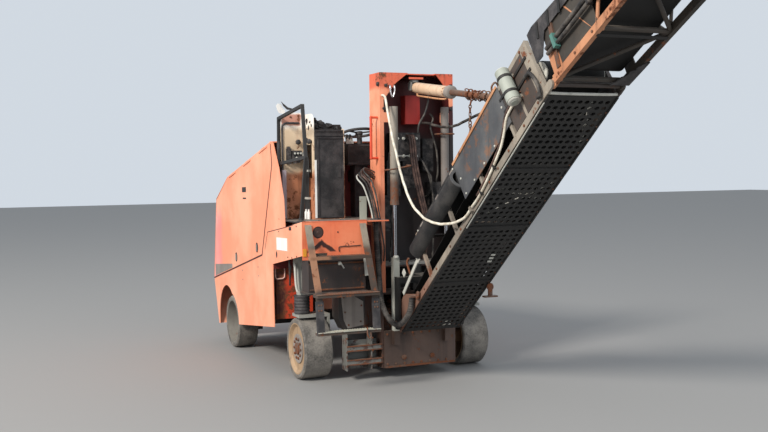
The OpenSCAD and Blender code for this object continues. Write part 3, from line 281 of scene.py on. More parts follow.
SAG_HOSE = [
    (300, -142, 2605), (300, -215, 2605), (300, -300, 2600), (300, -375, 2595), (295, -455, 2585),
    (285, -530, 2570), (280, -610, 2560), (270, -685, 2550), (260, -765, 2540), (255, -840, 2535),
    (245, -920, 2530), (235, -1000, 2530), (230, -1075, 2530), (220, -1155, 2535),
    (215, -1230, 2540), (210, -1310, 2555), (205, -1385, 2565), (200, -1465, 2578),
    (195, -1540, 2590), (185, -1620, 2600), (180, -1700, 2610), (175, -1776, 2618),
    (172, -1828, 2633), (170, -1866, 2671), (170, -1880, 2722)]
cord("tail_hose", hose_rubber, TAIL_HOSE, TAIL_HOSE_R,
     wrap=(1.6, 24))
cord("pale_cable", pale_sheath, PALE_CABLE, PALE_CABLE_R)
cord("sag_hose", hose_rubber, SAG_HOSE, SAG_HOSE_R)

# Studio: a pale floor, a pale sky and two large soft lights, the key from behind and to the left,
# as the sun stands in the photograph.
floor_mesh = bpy.data.meshes.new("floor")
floor_mesh.from_pydata([(-60, -60, 0), (60, -60, 0), (60, 60, 0), (-60, 60, 0)], [], [(0, 1, 2, 3)])
floor = bpy.data.objects.new("floor", floor_mesh)
bpy.context.scene.collection.objects.link(floor)
floor_paint = bpy.data.materials.new("floor")
floor_paint.use_nodes = True
floor_look = floor_paint.node_tree.nodes["Principled BSDF"].inputs
floor_look["Base Color"].default_value = (0.27, 0.265, 0.258, 1)
floor_look["Roughness"].default_value = 0.9
floor_mesh.materials.append(floor_paint)

world = bpy.data.worlds.new("studio")
bpy.context.scene.world = world
world.use_nodes = True
sky = world.node_tree.nodes["Background"].inputs
sky["Color"].default_value = (0.80, 0.87, 0.95, 1)
sky["Strength"].default_value = 0.80


def soft_light(name, place, aim, across, power, tint):
    """A square area light at a point of the machine's millimetres, turned towards another."""
    light = bpy.data.lights.new(name, "AREA")
    light.size = across
    light.energy = power
    light.color = tint
    lamp = bpy.data.objects.new(name, light)
    bpy.context.scene.collection.objects.link(lamp)
    lamp.location = at(*place)
    lamp.rotation_mode = "QUATERNION"
    lamp.rotation_quaternion = (at(*aim) - at(*place)).to_track_quat("-Z", "Y")


soft_light("key", (-21000, -10700, 17000), (0, 300, 1000), 6, 9400, (1.0, 0.95, 0.88))
soft_light("fill", (4500, -12500, 7000), (0, -1000, 1500), 9, 350, (0.9, 0.95, 1.0))

# Body panels: sheet steel in orange paint that has gone salmon in the sun, scuffed and streaked with a
# few specks of rust; hood roof, flanks and nose are fixed to the frame, the doors hinge at the roof.
RUST_DARK = rgb(70, 40, 28)
RUST_LIGHT = rgb(138, 84, 54)
DUST = rgb(158, 148, 136)


def weathered(fresh, faded, rust=0.35, dirt=0.35, dust=0.4, grime=rgb(66, 52, 46), rough=0.56):
    """Old paint: two tones in blotches, vertical dirt runs, rust in specks and patches, dust on top."""

    def recipe(p):
        blotch = noise(p, 1.3, 6, 0.6)
        speck = noise(p, 17, 8, 0.7)
        patch = noise(p, 3.1, 7, 0.65)
        grain = noise(p, 90, 3)
        runs = noise(p, 1.0, 5, 0.6, (16, 16, 0.7))
        facing = p.node("ShaderNodeSeparateXYZ", {0: p.node("ShaderNodeNewGeometry", out="Normal")},
                        out="Z")
        rusty = rise(speck * 0.55 + patch * 0.45, 0.66 - rust * 0.22, 0.70 - rust * 0.20)
        colour = mix(rise(blotch, 0.38, 0.66), fresh, faded)
        colour = mix(rise(runs, 0.50, 0.74) * dirt, colour, grime)
        colour = mix(rise(patch, 0.52, 0.80) * (dirt * 0.7), colour, grime)
        colour = mix(rusty, colour, mix(grain, RUST_DARK, RUST_LIGHT))
        colour = mix(rise(facing + grain * 0.2, 0.65, 1.1) * dust, colour, DUST)
        return {
            "Base Color": colour,
            "Roughness": rough + rusty * 0.4 + blotch * 0.12,
            "Bump": (grain * 0.3 - rusty * 0.8 + blotch * 0.4, 0.002),
        }

    return recipe


def painted(name, fresh, faded, **wear):
    """A material that is old paint all over."""
    return material(name, weathered(fresh, faded, **wear))


def axis(p, which):
    """One coordinate of a place on the machine, in metres."""
    return p.node("ShaderNodeSeparateXYZ", {0: p}, out=which)


def band(value, low, high, soft=0.003):
    """1 between low and high, 0 outside."""
    return rise(value, low - soft, low) * (1 - rise(value, high, high + soft))


def parted(here, there, where):
    """Two finishes on one piece: the second shows where the mask is 1."""

    def recipe(p):
        a, b, mask = here(p), there(p), where(p)
        return {
            "Base Color": mix(mask, a["Base Color"], b["Base Color"]),
            "Roughness": a["Roughness"] + (b["Roughness"] - a["Roughness"]) * mask,
            "Bump": a["Bump"],
        }

    return recipe


def dress(finish, *nodes):
    """Gives CAD nodes a finish."""
    for name in nodes:
        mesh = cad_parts[name].data
        mesh.materials.clear()
        mesh.materials.append(finish)


BOX_FACES = [(0, 2, 3, 1), (4, 5, 7, 6), (0, 1, 5, 4), (2, 6, 7, 3), (0, 4, 6, 2), (1, 3, 7, 5)]


def boxes(name, finish, body, places, turn=lambda x, y, z: (x, y, z)):
    """Boxes given by two corners, as one mesh; turn maps their own axes to the machine's millimetres."""
    verts, faces = [], []
    for low, high in places:
        first = len(verts)
        verts += [at(*turn(x, y, z)) for x in (low[0], high[0]) for y in (low[1], high[1])
                  for z in (low[2], high[2])]
        faces += [tuple(first + i for i in face) for face in BOX_FACES]
    return joined(name, finish, body, verts, faces)


def bars(name, finish, body, spans, wide, thick, facing=(0, 0, 1)):
    """Flat bars from point to point, wide across and thick along the facing direction."""
    verts, faces = [], []
    for a, b in spans:
        a, b = Vector(a), Vector(b)
        along = (b - a).normalized()
        out = (Vector(facing) - along * along.dot(Vector(facing))).normalized()
        side = out.cross(along)
        first = len(verts)
        verts += [at(*(end + side * (u * wide) + out * (v * thick))) for end in (a, b) for u in (-0.5, 0.5)
                  for v in (-0.5, 0.5)]
        faces += [tuple(first + i for i in face) for face in BOX_FACES]
    return joined(name, finish, body, verts, faces)


def plates(name, finish, body, face, outlines, thick, sink=1):
    """Flat sheets on a face of the machine: face maps two coordinates and a height to millimetres."""
    verts, faces = [], []
    for outline in outlines:
        first, count = len(verts), len(outline)
        verts += [at(*face(u, v, d)) for d in (-sink, thick) for u, v in outline]
        faces.append(tuple(first + i for i in reversed(range(count))))
        faces.append(tuple(first + count + i for i in range(count)))
        faces += [(first + i, first + (i + 1) % count, first + count + (i + 1) % count, first + count + i)
                  for i in range(count)]
    return joined(name, finish, body, verts, faces)


def round_outline(u, v, ru, rv, count=20):
    """Points of an oval about u, v."""
    return [(u + ru * math.cos(2 * math.pi * i / count), v + rv * math.sin(2 * math.pi * i / count))
            for i in range(count)]


def studs(name, finish, body, face, spots, radius, height, sides=6):
    """Bolt heads with a bevelled top on spots of a face of the machine."""
    verts, faces = [], []
    for u, v in spots:
        base = Vector(face(u, v, 0))
        turn = (Vector(face(u, v, 1)) - base).normalized().to_track_quat("Z", "Y")
        first = len(verts)
        for level, size in ((-0.5, radius), (height * 0.75, radius), (height, radius * 0.75)):
            for i in range(sides):
                a = 2 * math.pi * i / sides
                verts.append(at(*(base + turn @ Vector((size * math.cos(a), size * math.sin(a), level)))))
        faces.append(tuple(first + 2 * sides + i for i in range(sides)))
        faces += [(first + r * sides + i, first + r * sides + (i + 1) % sides,
                   first + (r + 1) * sides + (i + 1) % sides, first + (r + 1) * sides + i)
                  for r in (0, 1) for i in range(sides)]
    return joined(name, finish, body, verts, faces)


def turned(name, finish, body, spots, profile, sides=32):
    """Round pieces: each spot is a base point and an axis, profile is height and radius along it."""
    verts, faces = [], []
    for base, along in spots:
        turn = Vector(along).normalized().to_track_quat("Z", "Y")
        first = len(verts)
        for height, radius in profile:
            for i in range(sides):
                a = 2 * math.pi * i / sides
                verts.append(at(*(Vector(base)
                                  + turn @ Vector((radius * math.cos(a), radius * math.sin(a), height)))))
        for r in range(len(profile) - 1):
            faces += [(first + r * sides + i, first + r * sides + (i + 1) % sides,
                       first + (r + 1) * sides + (i + 1) % sides, first + (r + 1) * sides + i)
                      for i in range(sides)]
        faces.append(tuple(first + i for i in reversed(range(sides))))
        faces.append(tuple(first + (len(profile) - 1) * sides + i for i in range(sides)))
    return joined(name, finish, body, verts, faces)


LEFT_X = -1150
BODY_W = 1820
salmon_paint = weathered(rgb(238, 150, 116), rgb(247, 172, 140), rust=0.04, dirt=0.12, dust=0.15,
                         grime=rgb(150, 92, 70))
pink_paint = weathered(rgb(242, 142, 132), rgb(250, 166, 158), rust=0.0, dirt=0.1, dust=0.1,
                       grime=rgb(190, 110, 100))
salmon = material("salmon_orange", salmon_paint)
door_paint = material("door_salmon", parted(
    salmon_paint, pink_paint,
    lambda p: rise(axis(p, "Y") + noise(p, 3, 3) * 0.25, 2.62, 2.78) * (1 - rise(axis(p, "Z"), 1.5, 1.75))))
dress(salmon, "left_flank", "right_flank", "nose", "hood_roof")
dress(door_paint, "left_door", "right_door")


def on_left(y, z, d):
    """A place on the left flank, seen from the left: d stands out of it."""
    return (LEFT_X - d, y, z)


def on_right(y, z, d):
    """The like place on the right flank."""
    return (LEFT_X + BODY_W + d, y, z)


# black paint on frame, hoop, pipes and bolts; on the door and cheek holes and recesses it is painted shade
black_steel_and_shade = painted("black_steel_and_shade", rgb(28, 27, 27), rgb(46, 44, 43), rust=0.2, dirt=0.2, dust=0.35,
                      grime=rgb(45, 38, 32))
# dark red-brown: painted shade in the door and cheek seams, and the own colour of the dark cheek bolts
seam_shade_and_rubber = material("seam_shade_and_rubber", dusty(rgb(52, 22, 20), rgb(84, 44, 36)))
worn_grey = painted("worn_grey", rgb(126, 118, 112), rgb(150, 142, 134), rust=0.2, dirt=0.3, dust=0.2)
white_paint = painted("white_paint", rgb(222, 220, 216), rgb(240, 238, 232), rust=0.0, dirt=0.35, dust=0.1,
                      grime=rgb(150, 150, 156))
amber = material("amber_plastic", dusty(rgb(240, 160, 30), rgb(214, 150, 60)), Roughness=0.3)
SEAM = [(386, 2404), (347, 2189), (767, 1219), (2990, 764)]
LATCHES = [(970, 1285), (1869, 1114)]
for side, face in (("left", on_left), ("right", on_right)):
    body = side + "_door"
    # painted shade: a dark bar along each door seam stands for the shade in the gap
    bars(side + "_door_seam_shade", seam_shade_and_rubber, "chassis",
         [(face(*a, 1.5), face(*b, 1.5)) for a, b in zip(SEAM, SEAM[1:])], 15, 4, facing=face(0, 0, 1))
    # painted shade: black plates in the latch wells and over the lock holes stand for the shade inside them
    plates(side + "_latch_wells", black_steel_and_shade, body, face,
           [round_outline(y, z, 46, 56) for y, z in LATCHES], 2)
    plates(side + "_latch_paddles", worn_grey, body, face,
           [[(y - 20, z - 40), (y + 20, z - 40), (y + 20, z + 34), (y - 20, z + 34)] for y, z in LATCHES],
           9)
    plates(side + "_lock_slot", black_steel_and_shade, body, face,
           [[(1386, 1888), (1552, 1884), (1552, 1942), (1386, 1946)],
            [(1386, 1809), (1526, 1807), (1526, 1824), (1386, 1826)]], 2)
    plates(side + "_worn_corner", worn_grey, body, face,
           [[(2925, 793), (2919, 946), (2065, 1018), (2058, 972)]], 1)
    studs(side + "_skirt_bolts", worn_grey, "chassis", face,
          [(935, 1073), (1603, 978), (926, 978), (1588, 874)], 9, 4)
CHEEK = [(655, 1288), (548, 1478), (-72, 1556), (-330, 1592)]
# painted shade: a dark line along the cheek's seam stands for the shade in the gap
bars("cheek_seam_shade", seam_shade_and_rubber, "chassis",
     [(on_left(*a, 0.8), on_left(*b, 0.8)) for a, b in zip(CHEEK, CHEEK[1:])], 7, 2, facing=(1, 0, 0))
plates("blank_plate", white_paint, "chassis", on_left,
       [[(220, 1312), (220, 1440), (-139, 1450), (-139, 1322)]], 3)
# painted shade: black plates over the cheek's holes stand for the shade inside them
plates("cheek_slots", black_steel_and_shade, "chassis", on_left,
       [[(-196, 1532), (-196, 1566), (-276, 1570), (-276, 1536)], round_outline(230, 1262, 22, 34),
        round_outline(146, 1505, 12, 8)], 1)
studs("cheek_bolts", seam_shade_and_rubber, "chassis", on_left,
      [(-155, 1262), (-286, 1266), (-440, 1585), (-440, 1290)], 9, 5)
boxes("roof_edges", salmon, "chassis", [((LEFT_X - 1, 392, 2409), (LEFT_X + 12, 408, 2432))])

# Frame, bulkhead, engine and tank: black welded frame, the orange bulkhead behind the deck painted dark red
# as shade, a plain engine block, and the tank that shows behind the skirt, dark and rusted outside, redder
# further in.
# painted shade: the bulkhead's orange is darkened to dark red for the shade behind the deck; its rust, dirt
# and dust are real
bulkhead_shade_red = painted("bulkhead_shade_red", rgb(104, 26, 22), rgb(128, 36, 28), rust=0.2, dirt=0.6, dust=0.3,
                   grime=rgb(40, 26, 22))
grey_steel = painted("grey_steel", rgb(112, 112, 110), rgb(142, 138, 130), rust=0.3, dirt=0.5, dust=0.4)
tank_red = material("tank_red", parted(
    weathered(rgb(74, 34, 28), rgb(96, 48, 36), rust=0.7, dirt=0.5, dust=0.2),
    weathered(rgb(206, 66, 34), rgb(222, 92, 54), rust=0.6, dirt=0.4, dust=0.2),
    lambda p: rise(axis(p, "X") + noise(p, 4, 4) * 0.12, -0.96, -0.90)))
dress(black_steel_and_shade, "main_frame", "front_axle", "tow_lugs")
dress(bulkhead_shade_red, "bulkhead")
dress(grey_steel, "engine")
dress(tank_red, "side_tank")
faded_pipe = painted("faded_pipe", rgb(214, 168, 156), rgb(226, 190, 178), rust=0.3, dirt=0.3, dust=0.2)
LOOP_Y = 412
tubes("tank_loop", faded_pipe, "chassis", [
    [(-1112, LOOP_Y, 1120), (-1112, LOOP_Y, 1010), (-1100, LOOP_Y, 990), (-1030, LOOP_Y, 990),
     (-1012, LOOP_Y, 1005), (-1012, LOOP_Y, 1140), (-1024, LOOP_Y, 1158), (-1095, LOOP_Y, 1150),
     (-1112, LOOP_Y, 1120)]], 8)

# Deck: orange sheet with a soot stain over its slot, an oily brown plug in the round hole, a near-black
# floor that is painted shade with dust on it, a bent wire, a dark blotch and an amber reflector at its left
# edge.
deck_orange = weathered(rgb(226, 106, 66), rgb(238, 138, 98), rust=0.22, dirt=0.25, dust=0.1,
                        grime=rgb(120, 60, 44))
soot = weathered(rgb(44, 22, 18), rgb(66, 30, 24), rust=0.4, dirt=0.4, dust=0.0)
# painted shade: the deck's top is painted near-black for the shadow on it; the dust on it is real
floor_shade_black = weathered(rgb(34, 30, 29), rgb(54, 48, 44), rust=0.3, dirt=0.3, dust=0.5)


def stained(p):
    """Soot in the shape of a low hill over the slot, and a blotch at the panel's right."""
    x, z = axis(p, "X"), axis(p, "Z")
    rough = noise(p, 14, 5, 0.7) * 0.05
    hill = 1.462 - (x + 0.955).node("ShaderNodeMath", {0: x + 0.955}, operation="ABSOLUTE") * 0.75
    ridge = rise(hill - z + rough, 0.025, 0.04) * (1 - rise(hill - z + rough, 0.075, 0.10))
    ridge = ridge * rise(z, 1.33, 1.35)
    blot = band(x, -0.72, -0.62, 0.02) * band(z, 1.392, 1.425, 0.012) * rise(noise(p, 45, 4), 0.5, 0.6)
    return (ridge + blot * 0.8) * (1 - rise(axis(p, "Y"), -0.608, -0.600))


# the deck's top face takes the painted-shade near-black
deck_paint = material("deck_orange",
                      parted(parted(deck_orange, soot, stained), floor_shade_black,
                             lambda p: rise(axis(p, "Y"), -0.606, -0.604) * rise(axis(p, "Z"), 1.60, 1.61)))
dress(deck_paint, "deck")
DECK_Y = -616
FLOOR_Z = 1628


def on_deck(x, z, d):
    """A place on the deck's rear panel, seen from behind."""
    return (x, DECK_Y - d, z)


oily_black = material("oily_black", floor_shade_black)
oily_brown = painted("oily_brown", rgb(52, 36, 32), rgb(76, 52, 44), rust=0.6, dirt=0.4, dust=0.1)
orange = painted("orange", rgb(216, 92, 56), rgb(228, 126, 88), rust=0.3, dirt=0.4, dust=0.2)
turned("hole_plug", oily_brown, "chassis", [((-988, DECK_Y + 9, 1528), (0, -1, 0))],
       [(0, 66), (2, 66), (2, 50), (7, 46), (7, 14), (11, 10)])
plates("deck_reflector", amber, "chassis", on_deck,
       [[(-1146, 1302), (-1112, 1302), (-1112, 1374), (-1146, 1374)]], 7)
tubes("deck_wire", black_steel_and_shade, "chassis", [
    [(-776, DECK_Y - 5, 1336), (-780, DECK_Y - 5, 1366), (-766, DECK_Y - 6, 1384), (-662, DECK_Y - 6, 1386),
     (-556, DECK_Y - 5, 1390)]], 4)
studs("deck_bolts", oily_brown, "chassis", on_deck,
      [(x, 1284) for x in range(-850, -540, 52)] + [(-788, 1526), (-1118, 1596), (-520, 1590)], 8, 5)
tubes("deck_edge", orange, "chassis", [[(LEFT_X + 6, DECK_Y + 2, 1632), (-486, DECK_Y + 2, 1632)]], 5,
      sides=8)
studs("deck_rivets", black_steel_and_shade, "chassis", lambda x, y, d: (x, y, FLOOR_Z + d),
      [(x, y) for x in (-1110, -880, -650) for y in (-560, -330)], 9, 4)

# Step box and ladder: oily brown box with a bent steel lever, a pale flat post at its right. The
# ladder's flat stringers are grey at the top, dark below, with a rusted stretch on the left one, and
# their lower step hangs in black rubber straps.
step_brown = painted("step_brown", rgb(46, 38, 36), rgb(70, 54, 48), rust=0.35, dirt=0.5, dust=0.25)
ladder_tones = parted(
    weathered(rgb(52, 44, 38), rgb(80, 66, 56), rust=0.6, dirt=0.5, dust=0.15),
    weathered(rgb(116, 108, 96), rgb(144, 132, 116), rust=0.45, dirt=0.4, dust=0.2),
    lambda p: rise(axis(p, "Z") + noise(p, 5, 3) * 0.1, 1.40, 1.50))
ladder_grey = material("ladder_grey", parted(
    ladder_tones, weathered(rgb(138, 94, 68), rgb(156, 116, 88), rust=0.7, dirt=0.4, dust=0.1),
    lambda p: band(axis(p, "Z") + noise(p, 5, 3) * 0.1, 1.06, 1.40, 0.05)
    * (1 - rise(axis(p, "X"), -0.95, -0.9))))
pale_steel = painted("pale_steel", rgb(178, 178, 170), rgb(202, 200, 190), rust=0.15, dirt=0.35, dust=0.2)
tread_steel = painted("tread_steel", rgb(150, 152, 140), rgb(176, 174, 160), rust=0.45, dirt=0.4, dust=0.3)
rusty_brown = painted("rusty_brown", rgb(84, 60, 48), rgb(112, 84, 66), rust=0.9, dirt=0.5, dust=0.2)
rubber_strap = material("rubber_strap", dusty(rgb(38, 36, 38), rgb(78, 74, 74)))
dress(step_brown, "step_box")
dress(ladder_grey, "ladder")
LADDER_L, LADDER_W, FOOT_Y = -1126, 628, DECK_Y - 335
TREADS = [(-40, 600, 96), (-20, 950, 130), (196, 1290, 60)]
for tone, rows in ((tread_steel, TREADS[:1]), (rusty_brown, TREADS[1:])):
    boxes("treads_" + tone.name, tone, "chassis",
          [((LADDER_L + 2, FOOT_Y + y, z + 13), (LADDER_L + LADDER_W - 2, FOOT_Y + y + d, z + 18))
           for y, z, d in rows])
    bars("teeth_" + tone.name, tone, "chassis",
         [((x, FOOT_Y + y + 2, z + 20), (x, FOOT_Y + y + d - 2, z + 20)) for y, z, d in rows
          for x in range(LADDER_L + 80, LADDER_L + LADDER_W - 70, 26)], 5, 5)
bars("ladder_straps", rubber_strap, "chassis",
     [((x, FOOT_Y + 27, 905), (x, FOOT_Y - 8, 590)) for x in (LADDER_L + 32, LADDER_L + LADDER_W - 32)],
     76, 20, facing=(0, 1, 0))
studs("strap_bolts", rusty_brown, "chassis", lambda x, z, d: (x, FOOT_Y + 14 + (z - 880) * 0.1 - d, z),
      [(LADDER_L + dx, z) for dx in (20, 46, LADDER_W - 46, LADDER_W - 20) for z in (870, 820)], 9, 6)
bars("box_post", pale_steel, "chassis", [((-512, DECK_Y - 34, 1262), (-500, DECK_Y - 34, 1092))], 46, 8,
     facing=(0, 1, 0))
tubes("box_lever", pale_steel, "chassis",
      [[(-772, DECK_Y + 2, 1222), (-772, DECK_Y - 26, 1222), (-760, DECK_Y - 34, 1206),
        (-742, DECK_Y - 34, 1176)]], 7)
turned("lever_boss", pale_steel, "chassis", [((-772, DECK_Y + 8, 1222), (0, -1, 0))],
       [(0, 20), (10, 20), (14, 14), (18, 14)], 16)
bars("box_frame", rusty_brown, "chassis",
     [((-1080, DECK_Y + 4, 1225), (-520, DECK_Y + 4, 1225)),
      ((-1080, DECK_Y + 4, 975), (-520, DECK_Y + 4, 975))], 14, 10, facing=(0, 1, 0))
boxes("step_back", oily_black, "chassis", [((-628, -262, 120), (-248, -256, 520))])
tubes("tread_hook", rusty_brown, "chassis", [
    [(-640, FOOT_Y - 34, 640), (-645, FOOT_Y - 44, 600), (-640, FOOT_Y - 44, 560), (-622, FOOT_Y - 42, 535),
     (-604, FOOT_Y - 40, 556), (-612, FOOT_Y - 38, 590)]], 7)

# Air cabinet: cream sheet-metal shell, rusted in its lower half and white at its top, a dark rubber
# seal, valve block, knobs and pipes on its outside, and a torn sheet-metal flap at its top.
cream_paint = weathered(rgb(206, 182, 152), rgb(224, 204, 178), rust=0.35, dirt=0.35, dust=0.2,
                        grime=rgb(150, 104, 78))
white_shell = weathered(rgb(226, 218, 208), rgb(240, 236, 228), rust=0.12, dirt=0.25, dust=0.1,
                        grime=rgb(160, 140, 126))
rust_orange = weathered(rgb(176, 112, 78), rgb(196, 138, 104), rust=0.75, dirt=0.65, dust=0.1,
                        grime=rgb(70, 42, 30))
pink_rust = weathered(rgb(176, 122, 104), rgb(196, 142, 122), rust=0.5, dirt=0.3, dust=0.0,
                      grime=rgb(120, 70, 54))
cabinet_paint = material("cabinet_cream", parted(parted(parted(
    cream_paint, rust_orange, lambda p: 1 - rise(axis(p, "Z") + noise(p, 5, 4) * 0.16, 2.16, 2.24)),
    white_shell, lambda p: rise(axis(p, "Z") + noise(p, 6, 4) * 0.1, 2.58, 2.64)),
    pink_rust, lambda p: band(axis(p, "X") + noise(p, 9, 4) * 0.06, -1.04, -0.86, 0.02)
    * band(axis(p, "Z") + noise(p, 8, 4) * 0.06, 2.63, 2.72, 0.02) * rise(axis(p, "Y"), 0.15, 0.16)))
black_plastic = material("black_plastic", dusty(rgb(26, 26, 28), rgb(70, 66, 66), 6))
valve_black = material("valve_black", dusty(rgb(20, 20, 22), rgb(86, 80, 78), 22), Roughness=0.4)
violet_grey = painted("violet_grey", rgb(150, 138, 146), rgb(172, 160, 164), rust=0.1, dirt=0.3, dust=0.1)
dress(cabinet_paint, "cabinet")
dress(black_plastic, "cabinet_door")
INTAKE_Y = 190
WALL_X = -844
tubes("intake_seal", rubber_strap, "chassis", [
    [(-1084, INTAKE_Y - 3, 2050), (-1084, INTAKE_Y - 3, 2330), (-1083, INTAKE_Y - 3, 2560),
     (-1070, INTAKE_Y - 3, 2596), (-1035, INTAKE_Y - 3, 2612), (-900, INTAKE_Y - 3, 2614)]], 11)
studs("intake_bolts", rusty_brown, "chassis", lambda x, z, d: (x, INTAKE_Y - d, z),
      [(-990, 2676), (-905, 2690)], 12, 8)
boxes("flank_post", violet_grey, "chassis",
      [((-1100, INTAKE_Y - 46, FLOOR_Z), (-1058, INTAKE_Y - 2, 2132))])
boxes("flank_rubber", rubber_strap, "chassis",
      [((-1134, INTAKE_Y - 2, 2190), (-1112, INTAKE_Y + 16, 2430))])
boxes("valve_block", valve_black, "chassis",
      [((-1046, INTAKE_Y - 44, 2192), (-1000, INTAKE_Y - 1, 2352)),
       ((-990, INTAKE_Y - 60, 2232), (-892, INTAKE_Y - 1, 2330)),
       ((-978, INTAKE_Y - 52, 2200), (-948, INTAKE_Y - 1, 2240)),
       ((-936, INTAKE_Y - 52, 2206), (-906, INTAKE_Y - 1, 2240)),
       ((-1040, INTAKE_Y - 52, 2352), (-1012, INTAKE_Y - 6, 2372))])
turned("valve_caps", pale_steel, "chassis",
       [((x, INTAKE_Y - 60, z), (0, -1, 0))
        for x, z in ((-968, 2300), (-934, 2300), (-902, 2300), (-950, 2256))],
       [(0, 11), (9, 11), (12, 8), (12, 4), (18, 4)], 12)
turned("cabinet_knobs", black_plastic, "chassis",
       [((-918, INTAKE_Y, 2418), (0, -1, 0)), ((WALL_X, 60, 2432), (-1, 0, 0)),
        ((WALL_X, -38, 2418), (-1, 0, 0))], [(0, 14), (12, 14), (14, 26), (34, 26), (40, 20), (42, 8)], 20)
PIPES = [140, 96, 58, 16]
tubes("wall_pipes", black_steel_and_shade, "chassis",
      [[(WALL_X - 60, y, 2240), (WALL_X - 34, y, 2268), (WALL_X - 20, y - 4, 2240),
        (WALL_X - 18, y - 8, 2100), (WALL_X - 20, y - 2, 1900), (WALL_X - 18, y - 10, 1760),
        (WALL_X - 26, y - 16, 1668), (WALL_X - 26, y - 16, 1630)] for y in PIPES], 10)
turned("pipe_bottles", white_paint, "chassis",
       [((WALL_X - 30, -8, FLOOR_Z + 1), (0, 0, 1)), ((WALL_X - 34, 60, FLOOR_Z + 1), (0, 0, 1))],
       [(0, 18), (70, 18), (86, 9), (100, 9)], 16)
boxes("pipe_clamps", pale_steel, "chassis",
      [((WALL_X - 34, 0, z), (WALL_X - 1, 156, z + 22)) for z in (1830, 2110)])
boxes("shell_edge", white_paint, "chassis", [((-836, -103, 1640), (-814, -99, 2230))])
bars("door_trim", rubber_strap, "chassis",
     [((-800, -106, 1660), (-800, -106, 2440)), ((-530, -106, 1660), (-530, -106, 2440)),
      ((-800, -106, 2452), (-530, -106, 2452)), ((-800, -106, 1650), (-530, -106, 1650))], 10, 8,
     facing=(0, 1, 0))
bars("louvres", black_plastic, "chassis",
     [((-826, -96, z), (-532, -96, z)) for z in range(2496, 2540, 11)], 5, 16, facing=(0, 1, 0.6))
plates("torn_flap", white_paint, "chassis", lambda x, z, d: (x, INTAKE_Y + 40 - d + (x + 1090) * 0.12, z),
       [[(-1100, 2716), (-1040, 2712), (-1034, 2742), (-1062, 2770), (-1074, 2806), (-1112, 2816),
         (-1132, 2792), (-1122, 2752)]], 3)
plates("torn_blade", black_steel_and_shade, "chassis", lambda x, z, d: (x, INTAKE_Y + 20 - d, z),
       [[(-1082, 2836), (-1068, 2822), (-1010, 2776), (-962, 2764), (-948, 2748), (-1020, 2752),
         (-1060, 2790)]], 3)

# Foam of the cabinet's top: black sound-proofing foam whose skin is gone, crumbling into lumps,
# higher at its left, resting in the open top of the shell.
random.seed(4)
foam_black = material("foam_black", dusty(rgb(17, 16, 17), rgb(52, 47, 46), 26))
foam = bmesh.new()
for i in range(420):
    x, y = random.uniform(-832, -530), random.uniform(-52, 268)
    crown = 2676 - (x + 832) * 0.38
    reach = random.uniform(10, 30)
    middle = at(x, y, random.uniform(2548, max(2552, crown - reach)))
    lump = bmesh.ops.create_icosphere(foam, subdivisions=2, radius=reach / 1000)["verts"]
    squeeze = Vector([random.uniform(0.7, 1.25) for k in range(3)])
    for v in lump:
        v.co = Vector(a * b for a, b in zip(v.co, squeeze)) * random.uniform(0.75, 1.15) + middle
base = bmesh.ops.create_cube(foam, size=1)["verts"]
for v in base:
    low_z, high_z = 2487, 2590
    v.co = at(-682 + v.co.x * 300, 108 + v.co.y * 320, low_z if v.co.z < 0 else high_z)
foam_mesh = bpy.data.meshes.new("foam_crumbs")
foam.to_mesh(foam_mesh)
foam.free()
foam_mesh.materials.append(foam_black)
foam_piece = bpy.data.objects.new("foam_crumbs", foam_mesh)
bpy.context.scene.collection.objects.link(foam_piece)
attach(foam_piece, "chassis")
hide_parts("cabinet_foam")

# Operator's place: black plastic console and levers, a pale panel on top, the steering wheel, the
# black guard hoop on round feet with a bent loop on it, and a pale sheet-metal plate by the mast.
dress(black_plastic, "console", "steering_wheel")
dress(black_steel_and_shade, "guard_hoop")
CONSOLE_Y = 120
plates("dash_rim", rubber_strap, "chassis", lambda x, z, d: (x, CONSOLE_Y - d, z),
       [[(-384, 2186), (-70, 2186), (-70, 2204), (-384, 2204)],
        [(-384, 2372), (-70, 2372), (-70, 2390), (-384, 2390)]], 4)
plates("dash_panel", pale_steel, "chassis", lambda x, z, d: (x, CONSOLE_Y + 60 + (z - 2400) * 0.5 - d, z),
       [[(-384, 2398), (-300, 2398), (-304, 2470), (-318, 2486), (-384, 2486)]], 5)
turned("dash_levers", black_plastic, "chassis",
       [((x, 212, 2400), (0.15, -0.25, 1)) for x in (-384, -350, -98, -68)],
       [(0, 5), (70, 5), (74, 13), (96, 15), (104, 8)], 12)
boxes("side_plate", tread_steel, "chassis", [((-474, -404, FLOOR_Z + 1), (-398, -400, 1860))])
turned("hoop_feet", black_steel_and_shade, "chassis",
       [((-1110, -470, FLOOR_Z + 1), (0, 0, 1)), ((-1110, 130, FLOOR_Z + 1), (0, 0, 1))],
       [(0, 42), (8, 42), (12, 26), (34, 24)], 20)
tubes("hoop_loops", grey_steel, "chassis",
      [[(-1110, -640, 2262), (-1110, -610, 2300), (-1110, -570, 2296), (-1110, -566, 2262),
        (-1110, -600, 2240)]], 7)

# Mast: orange channel posts and cap, inside them painted shade, black below and dark red above that is
# partly their own paint; valve blocks, a red box and hoses between the posts, bolts on both posts and a
# bright shackle on the left one.
MAST_L, MAST_R, MAST_Y = -240, 580, -400
mast_orange = weathered(rgb(226, 134, 98), rgb(240, 162, 128), rust=0.3, dirt=0.3, dust=0.15,
                        grime=rgb(140, 70, 48))
cap_orange = weathered(rgb(206, 88, 58), rgb(222, 112, 80), rust=0.45, dirt=0.5, dust=0.2,
                       grime=rgb(60, 34, 28))
